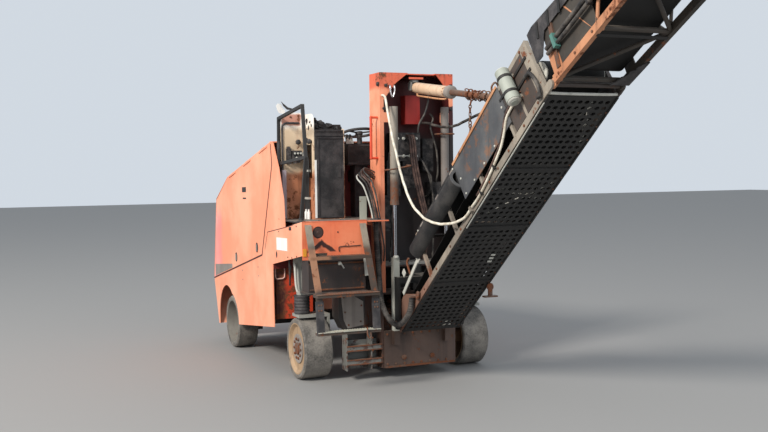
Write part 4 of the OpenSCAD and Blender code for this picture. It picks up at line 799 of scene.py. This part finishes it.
# painted shade inside the mast: black below, and above it dark red that is partly the inner paint's own
# colour
inner_shade_black = weathered(rgb(26, 20, 20), rgb(44, 30, 28), rust=0.15, dirt=0.3, dust=0.1)
inner_red_and_shade = weathered(rgb(62, 12, 12), rgb(88, 20, 18), rust=0.15, dirt=0.5, dust=0.1,
                      grime=rgb(30, 16, 16))


def inside(p):
    """1 where shade is painted: on the faces inside the channel posts, whose dark red is partly their own
    paint, and on the right post's rear below its ear.
    """
    x, y, z = axis(p, "X"), axis(p, "Y"), axis(p, "Z")
    hollow_shade = band(x, MAST_L / 1000 + 0.011, MAST_R / 1000 - 0.011, 0.001)
    hollow_shade = hollow_shade * band(y, -0.3875, -0.1325, 0.001)
    # painted shade on the right post's rear below its ear
    right = rise(x, 0.53, 0.535) * (1 - rise(z + noise(p, 6, 4) * 0.1, 2.80, 2.84))
    right = right * (1 - rise(y, -0.2, -0.19))
    return rise(hollow_shade * (1 - rise(z, 3.086, 3.09)) + right, 0.4, 0.6)


mast_capped = parted(mast_orange, cap_orange,
                     lambda p: rise(axis(p, "Z") + noise(p, 5, 4) * 0.1, 2.95, 3.02))
mast_outer = parted(mast_capped,
                    weathered(rgb(206, 66, 36), rgb(220, 92, 58), rust=0.15, dirt=0.25, dust=0.05),
                    lambda p: 1 - rise(axis(p, "X"), -0.2425, -0.2415))
mast_inner_shade = parted(inner_shade_black, inner_red_and_shade,
                    lambda p: rise(axis(p, "Z") + noise(p, 4, 3) * 0.2, 2.50, 2.66))
mast_paint = material("mast_orange", parted(mast_outer, mast_inner_shade, inside))
hoist_beige = material("hoist_beige", parted(parted(
    weathered(rgb(134, 126, 114), rgb(158, 150, 138), rust=0.3, dirt=0.5, dust=0.2),
    weathered(rgb(92, 70, 58), rgb(118, 94, 78), rust=0.6, dirt=0.5, dust=0.1),
    lambda p: 1 - rise(axis(p, "Z") + noise(p, 4, 3) * 0.1, 2.02, 2.14)),
    weathered(rgb(96, 90, 86), rgb(124, 116, 110), rust=0.45, dirt=0.5, dust=0.2),
    lambda p: rise(axis(p, "X"), 0.2, 0.21)))
bright_red = painted("bright_red", rgb(142, 24, 20), rgb(160, 40, 30), rust=0.05, dirt=0.3, dust=0.05,
                     grime=rgb(60, 16, 16))
hose_brown = material("hose_brown", dusty(rgb(56, 40, 36), rgb(110, 84, 74), 12))
chrome = material("chrome", lambda p: {
    "Base Color": mix(rise(noise(p, 18, 4), 0.55, 0.7), rgb(205, 205, 208), rgb(120, 108, 98)),
    "Roughness": 0.16 + noise(p, 30, 3) * 0.2}, Metallic=1.0)
dress(mast_paint, "mast")
dress(grey_steel, "king_post")
dress(hoist_beige, "hoist_barrels")
boxes("mast_red_box", bright_red, "chassis", [((104, -262, 2590), (268, -143, 2884))])
boxes("mast_valves", valve_black, "chassis",
      [((-50, -300, 2210), (250, -143, 2500)), ((-110, -260, 1850), (40, -143, 2215)),
       ((300, -250, 2100), (420, -143, 2440)), ((60, -280, 1930), (210, -143, 2215)),
       ((-190, -330, 1500), (-60, -143, 1860)), ((380, -300, 1560), (500, -143, 1990))])
turned("mast_valve_caps", pale_steel, "chassis",
       [((x, -300, z), (0, -1, 0)) for x in (-10, 60, 130, 200) for z in (2260, 2440)],
       [(0, 16), (12, 16), (16, 11), (26, 11)], 12)
tubes("mast_brown_hoses", hose_brown, "chassis",
      [[(96 + 26 * i, -302, 2470), (98 + 26 * i, -352, 2462), (104 + 27 * i, -366, 2400),
        (122 + 27 * i, -370, 2200), (160 + 27 * i, -366, 2000), (216 + 24 * i, -356, 1800),
        (262 + 20 * i, -340, 1640), (278 + 16 * i, -318, 1400), (280 + 16 * i, -260, 1190)]
       for i in range(3)], 12)
tubes("mast_inner_hoses", hose_rubber, "chassis",
      [[(314, -190, 3040), (322, -290, 2990), (338, -318, 2900), (330, -320, 2800), (292, -322, 2690),
        (236, -320, 2600), (214, -318, 2500)],
       [(420, -190, 2700), (400, -300, 2640), (350, -342, 2560), (380, -346, 2440), (420, -340, 2300),
        (440, -320, 2100), (436, -280, 1990)],
       [(-40, -296, 2330), (-96, -330, 2320), (-128, -346, 2240), (-120, -350, 2080), (-96, -346, 1900),
        (-90, -340, 1700), (-100, -330, 1400), (-110, -300, 1180)],
       [(330, -246, 2180), (322, -300, 2140), (342, -330, 2020), (372, -330, 1880), (388, -320, 1700),
        (392, -300, 1500), (396, -260, 1200)],
       [(240, -296, 2240), (262, -330, 2200), (300, -352, 2110), (346, -352, 2040), (356, -330, 1940),
        (350, -280, 1860), (346, -200, 1840)]], 10)
bars("mast_rail", pale_steel, "chassis", [((-60, -352, 2262), (120, -352, 2262))], 14, 8)
studs("mast_bolts", black_steel_and_shade, "chassis", lambda y, z, d: (MAST_L - d, y, z), [(-372, 2984)], 24, 20)
studs("mast_rear_bolts", black_steel_and_shade, "chassis", lambda x, z, d: (x, MAST_Y - d, z),
      [(-172, 2970), (-196, 2740), (556, 2980), (556, 2740)], 18, 16)
tubes("shackle", chrome, "chassis",
      [[(-136, MAST_Y - 2, 2972), (-136, MAST_Y - 26, 2960), (-134, MAST_Y - 30, 2900),
        (-112, MAST_Y - 32, 2850), (-90, MAST_Y - 30, 2900), (-88, MAST_Y - 26, 2960),
        (-88, MAST_Y - 2, 2972)]], 9)
tubes("barrel_clamps", rusty_brown, "chassis", [
    [(-196, -404, 2118), (-196, -520, 2122), (-110, -534, 2134), (-20, -534, 2150), (40, -520, 2160),
     (40, -404, 2166)],
    [(372, -404, 2480), (380, -516, 2480), (470, -530, 2480), (530, -516, 2480), (530, -404, 2480)]], 8)
BUNDLE = [(-236, -236, 2030), (-330, -250, 2078), (-420, -310, 2096), (-452, -380, 2060),
          (-410, -440, 1980), (-376, -462, 1840), (-342, -470, 1680), (-312, -474, 1500),
          (-290, -460, 1300), (-280, -430, 1160)]
for tone, shifts in ((hose_rubber, [(0, 0), (26, 14), (-18, 26), (44, -8), (4, 30)]),
                     (pale_steel, [(-24, 6)]), (hose_brown, [(12, -20), (34, 34)])):
    tubes("mast_foot_" + tone.name, tone, "chassis",
          [[(x + dx + 7 * math.sin(z / 90 + dx), y + dy, z + dx) for x, y, z in BUNDLE]
           for dx, dy in shifts], 8)
tubes("bundle_grommet", rubber_strap, "chassis",
      [[(-330 + 48 * math.cos(a), -470 + 40 * math.sin(a), 1632)
        for a in [2 * math.pi * k / 12 for k in range(13)]]], 8)

# Planer: rusted housing and drum; the scraper's square tubes are pale grey and its hoist rods chrome;
# the angle-iron steps keep grey paint between their rusty edges.
housing_brown = material("housing_brown", parted(
    weathered(rgb(66, 48, 42), rgb(92, 68, 56), rust=0.5, dirt=0.5, dust=0.25),
    weathered(rgb(104, 104, 100), rgb(128, 126, 120), rust=0.4, dirt=0.4, dust=0.4),
    lambda p: (1 - rise(axis(p, "X"), -0.262, -0.258)) * (1 - rise(noise(p, 11, 5, 0.7), 0.52, 0.60))))


def scraper_finish(p):
    """Rusty blade, pale square tubes above it, chrome rods above those."""
    z = axis(p, "Z")
    look = parted(weathered(rgb(66, 50, 42), rgb(92, 72, 62), rust=0.3, dirt=0.6, dust=0.3),
                  weathered(rgb(176, 176, 166), rgb(196, 194, 184), rust=0.15, dirt=0.3, dust=0.1),
                  lambda q: rise(z, 0.493, 0.497))(p)
    rod = rise(z, 1.234, 1.237)
    look["Base Color"] = mix(rod, look["Base Color"], rgb(196, 196, 200))
    look["Roughness"] = look["Roughness"] * (1 - rod) + rod * 0.2
    look["Metallic"] = rod
    return look


dress(housing_brown, "drum_housing")
dress(rusty_brown, "milling_drum")
dress(oily_black, "drive_casing")
dress(material("scraper", scraper_finish), "scraper")
SCRAPER_Y = -425
HOUSING_Y = -400
CASING_Y = -350
studs("scraper_bolts", rusty_brown, "scraper", lambda x, z, d: (x, SCRAPER_Y - d, z),
      [(x, z) for x in range(-200, 560, 95) for z in (150, 455)], 13, 9)
studs("scraper_eyes", rusty_brown, "scraper", lambda x, z, d: (x, SCRAPER_Y - d, z),
      [(-16, 210), (301, 204)], 26, 16, 16)
plates("scraper_edge", rusty_brown, "scraper", lambda x, z, d: (x, SCRAPER_Y - d, z),
       [[(-222, 113), (562, 113), (562, 134), (-222, 134)]], 6)
turned("rod_collars", pale_steel, "scraper", [((x, -477, 1232), (0, 0, 1)) for x in (-115, 455)],
       [(0, 30), (16, 30), (20, 25), (26, 22)], 20)
studs("housing_bolts", rusty_brown, "chassis", lambda x, z, d: (x, HOUSING_Y - d, z),
      [(-628, 440), (-628, 300), (-628, 160), (-352, 300), (-352, 430)], 10, 7)
bars("step_iron_edges", rusty_brown, "chassis",
     [((-630, -404, z), (-246, -404, z)) for z in (172, 219, 312, 359)], 12, 8, facing=(0, 1, 0))
plates("casing_plates", worn_grey, "chassis", lambda x, z, d: (x, CASING_Y - d, z),
       [[(-668, 880), (-560, 876), (-430, 800), (-424, 560), (-600, 536), (-640, 620)]], 6)
studs("casing_bolts", rusty_brown, "chassis", lambda x, z, d: (x, CASING_Y - 6 - d, z),
      [(-640, 850), (-628, 700), (-590, 570), (-460, 600), (-450, 760)], 10, 8)

# Wheels: solid tyres worn pale grey with chips in their rubber, dished rims bolted to the hubs, beige
# at the rear and grey in front, with rusty bolts and a capped hub in the middle.
WHEEL_R = 310
FRONT_AXLE_Y = 2150


def worn_rubber(p):
    """Tyre rubber gone pale, with chips in its surface."""
    grain = noise(p, 55, 6, 0.7)
    patch = noise(p, 5, 5)
    chips = noise(p, 24, 6, 0.8)
    return {
        "Base Color": mix(rise(patch * 0.6 + grain * 0.4, 0.35, 0.65), rgb(74, 71, 68), rgb(136, 130, 122)),
        "Roughness": 0.75 + grain * 0.2,
        "Bump": (grain * 0.6 + chips * 1.2, 0.006),
    }


def dished(paint):
    """A rim's paint, with rust washed out round the hub."""

    def recipe(p):
        y, z = axis(p, "Y"), axis(p, "Z") - WHEEL_R / 1000
        far = y - FRONT_AXLE_Y / 1000
        rear = (y * y + z * z) * (1 - rise(y, 1.0, 1.1))
        away = rear + (far * far + z * z) * rise(y, 1.0, 1.1)
        look = paint(p)
        wash = (1 - rise(away + noise(p, 8, 5, 0.7) * 0.03, 0.018, 0.045)) * 0.75
        look["Base Color"] = mix(wash, look["Base Color"], rgb(104, 66, 44))
        return look

    return recipe


tyre_rubber = material("tyre_rubber", worn_rubber)
rim_beige = material("rim_beige",
                     dished(weathered(rgb(150, 124, 96), rgb(178, 150, 118), rust=0.4, dirt=0.5, dust=0.2)))
rim_grey = material("rim_grey",
                    dished(weathered(rgb(92, 90, 85), rgb(118, 114, 106), rust=0.35, dirt=0.5, dust=0.2)))
dress(tyre_rubber, "tyre_front_left", "tyre_front_right", "tyre_rear_left", "tyre_rear_right")
dress(rim_beige, "rim_rear_left", "rim_rear_right")
dress(rim_grey, "rim_front_left", "rim_front_right")
# body, outer face of the disc, direction out, axle's Y
WHEELS = [("wheel_rear_left", -1035 + 24, -1, 0), ("wheel_rear_right", 1035 - 24, 1, 0),
          ("wheel_front_left", LEFT_X + 10 + 135, -1, FRONT_AXLE_Y),
          ("wheel_front_right", LEFT_X + BODY_W - 10 - 135, 1, FRONT_AXLE_Y)]
for body, disc_x, out, axle_y in WHEELS:
    ring = [(100 * math.cos(a), WHEEL_R + 100 * math.sin(a))
            for a in [2 * math.pi * k / 10 for k in range(10)]]
    studs(body + "_bolts", rusty_brown, body, lambda y, z, d: (disc_x + out * d, axle_y + y, z), ring, 15,
          16)
    turned(body + "_cap", rusty_brown, body, [((disc_x, axle_y, WHEEL_R), (out, 0, 0))],
           [(0, 62), (14, 60), (20, 50), (22, 24), (28, 20)], 28)
    turned(body + "_ring", worn_grey, body, [((disc_x - out * 8, axle_y, WHEEL_R), (out, 0, 0))],
           [(0, 150), (10, 150), (12, 140), (9, 128)], 40)

# Legs: pale sleeves on the frame, a black rubber boot over each piston, grey yokes over the tyres,
# and the sensing rod and hydraulic line beside each sleeve.
leg_paint = material("leg_grey", parted(
    weathered(rgb(136, 136, 130), rgb(160, 158, 150), rust=0.25, dirt=0.4, dust=0.3),
    dusty(rgb(30, 29, 30), rgb(72, 68, 66)), lambda p: band(axis(p, "Z"), 0.6655, 0.861, 0.0005)))
sleeve_paint = painted("sleeve_grey", rgb(150, 150, 140), rgb(180, 178, 168), rust=0.2, dirt=0.4, dust=0.2)
dress(leg_paint, "left_leg", "right_leg")
dress(sleeve_paint, "leg_sleeves")
dress(grey_steel, "left_knuckle", "right_knuckle")
LEG_X = 960
BOOT_FOLD = [(0, 77), (8, 80), (16, 82), (24, 80), (31, 77)]
for name, body, x in (("boot_folds", "leg_left", -LEG_X), ("boot_folds_right", "leg_right", LEG_X)):
    turned(name, rubber_strap, body, [((x, 0, 668 + 32 * k), (0, 0, 1)) for k in range(6)], BOOT_FOLD, 32)
for side, x in (("left", -LEG_X), ("right", LEG_X)):
    tubes(side + "_sleeve_rings", grey_steel, "chassis", [
        [(x + 80.5 * math.cos(a), 80.5 * math.sin(a), z) for a in [2 * math.pi * k / 24 for k in range(25)]]
        for z in (1160, 1560)], 5)
    tubes(side + "_sensing_rods", pale_steel, "chassis",
          [[(x - 92, -70, 1190), (x - 90, -74, 1080), (x - 84, -78, 960), (x - 72, -84, 905)]], 13)
    tubes(side + "_leg_lines", hose_rubber, "chassis",
          [[(x - 96, -28, 1330), (x - 132, -34, 1290), (x - 138, -36, 1160), (x - 134, -30, 1010),
            (x - 124, 4, 965), (x - 112, 40, 1010), (x - 96, 52, 1160)]], 9)

# Lower conveyor: a grey-brown side, rusted towards its tail, dark on the right; black belt and charcoal
# drilled guard under it, a canister strapped near the head, rusted clamps and a hinged cover.
LOW_COS, LOW_SIN = 0.7826, 0.6225
UP = (0, LOW_SIN, LOW_COS)


def low(s, w, n):
    """A point on the lower conveyor: s along it from its tail, w to the right, n up from its lower edge."""
    return (170 + w, -650 - LOW_COS * s + LOW_SIN * n, 505 + LOW_SIN * s + LOW_COS * n)


def low_slope(p):
    """The distance along the lower conveyor at a place, in metres."""
    return (axis(p, "Y") + 0.65) * -LOW_COS + (axis(p, "Z") - 0.505) * LOW_SIN


beige_side = weathered(rgb(120, 112, 102), rgb(152, 142, 128), rust=0.4, dirt=0.5, dust=0.2,
                       grime=rgb(64, 50, 42))
pink_side = weathered(rgb(112, 82, 68), rgb(140, 104, 88), rust=0.6, dirt=0.6, dust=0.2)
dark_side = weathered(rgb(50, 44, 42), rgb(76, 66, 60), rust=0.4, dirt=0.5, dust=0.4)
tin_green = weathered(rgb(138, 144, 136), rgb(160, 164, 154), rust=0.15, dirt=0.35, dust=0.2)
lower_paint = material("lower_side", parted(parted(parted(
    beige_side, pink_side, lambda p: 1 - rise(low_slope(p) + noise(p, 4, 4) * 0.4, 0.9, 1.3)),
    dark_side, lambda p: rise(axis(p, "X"), -0.118, -0.116)),
    tin_green, lambda p: (1 - rise(axis(p, "X"), -0.172, -0.170)) * rise(axis(p, "Z"), 2.0, 2.05)))
belt_black = material("belt_black", dusty(rgb(8, 8, 8), rgb(26, 24, 22), 7))
guard_black = painted("guard_black", rgb(24, 24, 24), rgb(42, 40, 38), rust=0.08, dirt=0.4, dust=0.22,
                      grime=rgb(16, 15, 15))
cover_slate = material("cover_slate", parted(parted(
    weathered(rgb(66, 68, 72), rgb(98, 98, 98), rust=0.08, dirt=0.45, dust=0.3, grime=rgb(38, 34, 32)),
    weathered(rgb(108, 74, 54), rgb(134, 98, 74), rust=0.5, dirt=0.4, dust=0.1),
    lambda p: band(low_slope(p) + noise(p, 5, 5, 0.7) * 0.5, 2.45, 2.95, 0.12)
    * rise(noise(p, 6, 5, 0.7), 0.50, 0.60) * 0.8),
    dusty(rgb(26, 27, 29), rgb(64, 62, 60), 5), lambda p: 1 - rise(low_slope(p), 1.958, 1.962)))
flat_dark = painted("flat_dark", rgb(22, 22, 22), rgb(36, 34, 33), rust=0.2, dirt=0.3, dust=0.3)
rust_orange_steel = painted("rust_orange_steel", rgb(176, 122, 84), rgb(200, 148, 108), rust=0.5, dirt=0.4,
                            dust=0.2)
dress(lower_paint, "lower_frame")
dress(belt_black, "lower_belt")
dress(pale_steel, "lower_rollers")
dress(guard_black, "underguard", "slew_yoke")
dress(cover_slate, "belt_cover")
bars("guard_flats", flat_dark, "conveyor_lower",
     [(low(s, -313, -13), low(s, 313, -13)) for s in (905, 1795, 2595)], 26, 10, facing=UP)
bars("guard_edges", flat_dark, "conveyor_lower",
     [(low(30, w, -12), low(3455, w, -12)) for w in (-306, 306)], 16, 8, facing=UP)
bars("pale_strip", pale_steel, "conveyor_lower", [(low(1800, -318, -18), low(3390, -318, -18))], 9, 5,
     facing=UP)
bars("guard_stays", pale_steel, "conveyor_lower",
     [(low(1880, -285, 14), low(2390, 285, 14)), (low(3400, 110, 14), low(2900, 270, 14)),
      (low(2330, -285, 14), low(2140, 285, 14))], 26, 8, facing=UP)
plates("paint_patches", pale_steel, "conveyor_lower", lambda s, w, d: low(s, w, -8 - d),
       [[(s - 13, w - 20), (s + 14, w - 24), (s + 12, w + 20), (s - 14, w + 22)]
        for s, w in ((1345, 142), (1292, 146), (1238, 150))], 2)
studs("guard_bolts", rusty_brown, "conveyor_lower", lambda s, w, d: low(s, w, -8 - d),
      [(s, w) for w in (-296, 296) for s in range(80, 3440, 160)], 9, 6)
tubes("head_lip", pale_steel, "conveyor_lower",
      [[low(3462, -322, 22), low(3478, -250, -2), low(3482, 0, -8), low(3478, 250, -2),
        low(3462, 322, 22)]], 11)
plates("right_skirt", rubber_strap, "conveyor_lower", lambda s, n, d: low(s, 314 + d, n),
       [[(930, 66), (3430, 66), (3430, 474), (930, 474)]], 4)
plates("head_sheet", material("head_dark", dark_side), "conveyor_lower",
       lambda s, n, d: low(s, -320 - d, n), [[(2965, 66), (3440, 66), (3440, 500), (2965, 500)]], 4)
bars("head_rails", flat_dark, "conveyor_lower",
     [(low(2925, -330, n), low(3425, -330, n)) for n in (300, 418)], 22, 12, facing=(1, 0, 0))
bars("cover_edge", rust_orange_steel, "conveyor_lower", [(low(1965, -337, 546), low(2955, -337, 546))], 24,
     8, facing=(1, 0, 0))
studs("cover_bolts", pale_steel, "conveyor_lower", lambda s, n, d: low(s, -331 - d, n),
      [(1010, 350), (1010, 520), (1940, 520), (2010, 200), (2200, 196), (2420, 196), (2640, 196),
       (2860, 196), (2920, 360), (2010, 360)], 11, 7)
bars("cover_hinges", worn_grey, "conveyor_lower",
     [(low(s, -334, 498), low(s + 70, -334, 498)) for s in (1080, 1500, 1860)], 60, 6, facing=(1, 0, 0))
studs("chord_bolts", rusty_brown, "conveyor_lower", lambda s, n, d: low(s, -325 - d, n),
      [(s, 30) for s in (240, 760, 1100, 1460, 1720, 2130, 2380, 2560, 2780, 3080, 3340)]
      + [(s, 512) for s in (2320, 2480, 2660, 3120, 3380)], 12, 8)
TIN_S, TIN_W = 3180, -400
turned("tin_caps", pale_steel, "conveyor_lower",
       [(low(TIN_S, TIN_W, 176), UP), (low(TIN_S, TIN_W, 482), UP)],
       [(0, 40), (6, 52), (10, 54), (18, 50), (22, 24), (34, 22)], 28)
turned("tin_straps", flat_dark, "conveyor_lower", [(low(TIN_S, TIN_W, n), UP) for n in (250, 400)],
       [(0, 59), (2, 62), (26, 62), (28, 59)], 32)
bars("tin_brackets", rusty_brown, "conveyor_lower",
     [(low(TIN_S, -330, n), low(TIN_S, -370, n)) for n in (263, 413)], 60, 14, facing=UP)
bars("tail_bracket", pale_steel, "conveyor_lower", [(low(335, -333, 244), low(925, -333, 330))], 40, 10,
     facing=(1, 0, 0))
bars("tail_plates", pale_steel, "conveyor_lower",
     [(low(452, -335, 386), low(510, -335, 396)), (low(812, -335, 312), low(866, -335, 318))], 64, 8,
     facing=(1, 0, 0))
tubes("tail_lever", rusty_brown, "conveyor_lower", [
    [low(600, -336, 300), low(632, -352, 372), low(648, -356, 408), low(690, -350, 424)]], 11)
tubes("rust_clump", rusty_brown, "conveyor_lower", [
    [low(590, -336, 40), low(612, -350, 20), low(640, -352, 26), low(662, -344, 52), low(640, -340, 66),
     low(606, -340, 58)]], 15)
HOOK = low(852, 322, -10)
tubes("prop_ring", rusty_brown, "conveyor_lower", [
    [(HOOK[0] + 30 * math.sin(a), HOOK[1], HOOK[2] - 34 + 30 * math.cos(a))
     for a in [2 * math.pi * k / 12 for k in range(13)]]], 8)
bars("prop_foot", rusty_brown, "conveyor_lower",
     [((HOOK[0], HOOK[1], HOOK[2] - 2), (HOOK[0], HOOK[1], HOOK[2] - 122))], 44, 14, facing=(0, 1, 0))
boxes("prop_plate", rusty_brown, "conveyor_lower",
      [((HOOK[0] - 72, HOOK[1] - 30, HOOK[2] - 132), (HOOK[0] + 68, HOOK[1] + 30, HOOK[2] - 118))])
CLIPPED = [(2030, 42), (2160, 34), (2300, 44), (2480, 66), (2620, 92), (2722, 116), (2830, 170),
           (2932, 236), (3060, 250)]
tubes("clipped_cable", pale_sheath, "conveyor_lower", [[low(s, -340, n) for s, n in CLIPPED]], 11)
tubes("clipped_hose", hose_brown, "conveyor_lower", [[low(s, -341, n + 27) for s, n in CLIPPED[1:]]], 10)
bars("cable_ties", flat_dark, "conveyor_lower",
     [(low(s, -344, 66 + (s - 2250) * 0.07), low(s, -344, 14 + (s - 2250) * 0.09)) for s in (2240, 2540)],
     16, 22, facing=(1, 0, 0))

# Upper conveyor: left chord in rust, right side and belt near black, two long hoses along its side,
# dark side sheets, rubber skirts, and the post and hose clamp at its tail.
UPPER_COS, UPPER_SIN = 0.8634, 0.5045
UPPER_UP = (0, UPPER_SIN, UPPER_COS)


def upp(s, w, n):
    """A point on the upper conveyor: s along it from its tail, w to the right, n up from its lower edge."""
    return (170 + w, -3401.7 - (UPPER_COS * s - UPPER_SIN * (n - 30)),
            2732.1 + UPPER_SIN * s + UPPER_COS * (n - 30))


upper_paint = material("upper_side", parted(
    weathered(rgb(170, 112, 78), rgb(196, 140, 104), rust=0.6, dirt=0.5, dust=0.1),
    weathered(rgb(44, 40, 36), rgb(66, 58, 50), rust=0.4, dirt=0.5, dust=0.3),
    lambda p: rise(axis(p, "X") + noise(p, 6, 4) * 0.02, -0.09, -0.08)))
teal = painted("teal", rgb(64, 112, 104), rgb(92, 136, 126), rust=0.15, dirt=0.4, dust=0.2)
dress(upper_paint, "upper_frame")
dress(belt_black, "upper_belt")
dress(grey_steel, "upper_rollers")
plates("upper_sheets",
       painted("upper_dark", rgb(48, 44, 40), rgb(76, 70, 62), rust=0.3, dirt=0.5, dust=0.25),
       "conveyor_upper", lambda s, n, d: upp(s, -316 - d, n),
       [[(95, 66), (700, 66), (700, 424), (95, 424)]], 4)
bars("upper_post", rusty_brown, "conveyor_upper", [(upp(168, -326, 60), upp(240, -326, 480))], 46, 12,
     facing=(1, 0, 0))
for k, (w, n, r) in enumerate(((-346, 250, 19), (-352, 206, 16))):
    tubes("upper_hose_%d" % (k + 1), hose_rubber, "conveyor_upper",
          [[upp(s, w + 4 * math.sin(s / 170 + k), n + 9 * math.sin(s / 210 + 2 * k))
            for s in range(120, 2240, 106)] + [upp(2280, w + 26, n + 20), upp(2290, w + 44, n + 60)]], r)
bars("hose_clamp", teal, "conveyor_upper", [(upp(249, -350, 176), upp(249, -350, 290))], 34, 46,
     facing=(1, 0, 0))
bars("hose_clips", flat_dark, "conveyor_upper",
     [(upp(s, -350, 182), upp(s, -350, 276)) for s in (720, 1240, 1760, 2160)], 20, 44, facing=(1, 0, 0))
plates("transfer_skirt", rubber_strap, "conveyor_upper", lambda s, n, d: upp(s, -331 - d, n),
       [[(-52, 250), (-62, 520), (20, 536), (243, 514), (700, 470), (700, 400), (150, 400), (40, 250)]], 5)
bars("skirt_slats", flat_dark, "conveyor_upper",
     [(upp(s, -340, 400 - s * 0.04), upp(s + 40, -340, 516 - s * 0.07)) for s in (60, 220, 380, 540, 680)],
     26, 6, facing=(1, 0, 0))
random.seed(9)
TORN = [(60, 150), (60, 325), (350, 325)] + [
    (350 - 24 * k, 300 - 12 * k + random.uniform(-16, 16)) for k in range(1, 11)]
plates("torn_skirt", rubber_strap, "conveyor_upper", lambda s, w, d: upp(s, w, -4 - d), [TORN], 6)
studs("upper_bolts", rusty_brown, "conveyor_upper", lambda s, n, d: upp(s, -325 - d, n),
      [(s, n) for n in (30, 430) for s in range(140, 2300, 240)], 11, 8)
bars("upper_cross_flats", flat_dark, "conveyor_upper",
     [(upp(s, -300, 2), upp(s, 300, 2)) for s in (620, 1240, 1860)], 30, 6, facing=UPPER_UP)
tubes("hose_curl", hose_rubber, "conveyor_lower",
      [[low(3380, -344, 40), low(3420, -352, 26), low(3446, -356, 60), low(3452, -358, 130),
        low(3440, -356, 210), low(3410, -352, 262), low(3340, -348, 284)]], 15)

# Stay: cream luffing cylinder hung under the mast's cap by a grey swivel, its rod wound with a rusty
# safety chain whose loose end hangs down to a hook.
STAY_COS, STAY_SIN = 0.9913, 0.1314
STAY_ALONG = (0, -STAY_COS, -STAY_SIN)


def stay(t, u, v):
    """A point by the luffing cylinder: t along it from the mast, u to the right, v up."""
    return (170 + u, -330 - STAY_COS * t + STAY_SIN * v, 2960 - STAY_SIN * t + STAY_COS * v)


def chain(name, finish, body, points, pitch, across, wire):
    """Links along a line, each turned a quarter from the one before."""
    line = curve(points, pitch)
    verts, faces = [], []
    for k in range(len(line) - 1):
        a, b = line[k], line[k + 1]
        frame_turn = (b - a).normalized().to_track_quat("Z", "X")
        first = len(verts)
        rounds, ring = 12, 6
        for i in range(rounds):
            angle = 2 * math.pi * i / rounds
            reach = Vector((math.cos(angle) * across / 2, 0, math.sin(angle) * ((b - a).length / 2 + wire)))
            out = Vector((math.cos(angle), 0, math.sin(angle)))
            for j in range(ring):
                turn = 2 * math.pi * j / ring
                spot = reach + (out * math.cos(turn) + Vector((0, 1, 0)) * math.sin(turn)) * wire
                if k % 2:
                    spot = Vector((-spot.y, spot.x, spot.z))
                verts.append(at(*((a + b) / 2 + frame_turn @ spot)))
        faces += [(first + i * ring + j, first + i * ring + (j + 1) % ring,
                   first + (i + 1) % rounds * ring + (j + 1) % ring, first + (i + 1) % rounds * ring + j)
                  for i in range(rounds) for j in range(ring)]
    return joined(name, finish, body, verts, faces)


stay_cream = painted("stay_cream", rgb(196, 160, 128), rgb(214, 186, 158), rust=0.45, dirt=0.4, dust=0.2,
                     grime=rgb(130, 84, 60))
chain_rust = material("chain_rust",
                      weathered(rgb(104, 78, 62), rgb(138, 108, 88), rust=0.9, dirt=0.4, dust=0.1),
                      Metallic=0.3)
dress(grey_steel, "stay_swivel")
dress(stay_cream, "luff_barrel")
dress(rusty_brown, "luff_rod")
turned("luff_gland", worn_grey, "luff_barrel", [(stay(800, 0, 0), STAY_ALONG)],
       [(0, 56), (4, 63), (58, 63), (64, 56), (70, 40)], 36)
tubes("luff_line", rust_orange_steel, "luff_barrel",
      [[stay(120, -20, -56), stay(130, -24, -76), stay(300, -24, -78), stay(620, -22, -78),
        stay(770, -20, -70), stay(786, -18, -54)]], 9)
chain("rod_chain", chain_rust, "luff_rod",
      [stay(1150 + 13 * k, 42 * math.sin(k * 0.72), 42 * math.cos(k * 0.72)) for k in range(40)], 34, 24, 5)
TAIL = stay(1330, -30, -30)
HANG = [TAIL, (TAIL[0] - 20, TAIL[1] + 4, TAIL[2] - 60), (TAIL[0] - 22, TAIL[1] + 4, TAIL[2] - 260)]
chain("loose_chain", chain_rust, "luff_rod", HANG, 34, 24, 5)
END = Vector(HANG[2])
tubes("chain_hook", chain_rust, "luff_rod",
      [[END + Vector(d) for d in ((0, 0, 8), (0, 0, -30), (0, 22, -62), (0, 10, -88), (0, -20, -84),
                                  (0, -28, -58))]], lambda share: 10 - 5 * share)
tubes("rod_shackle", chain_rust, "luff_rod",
      [[(148, -2010, 2756), (136, -2016, 2830), (170, -2020, 2868), (204, -2016, 2830),
        (192, -2010, 2756)]], 9)
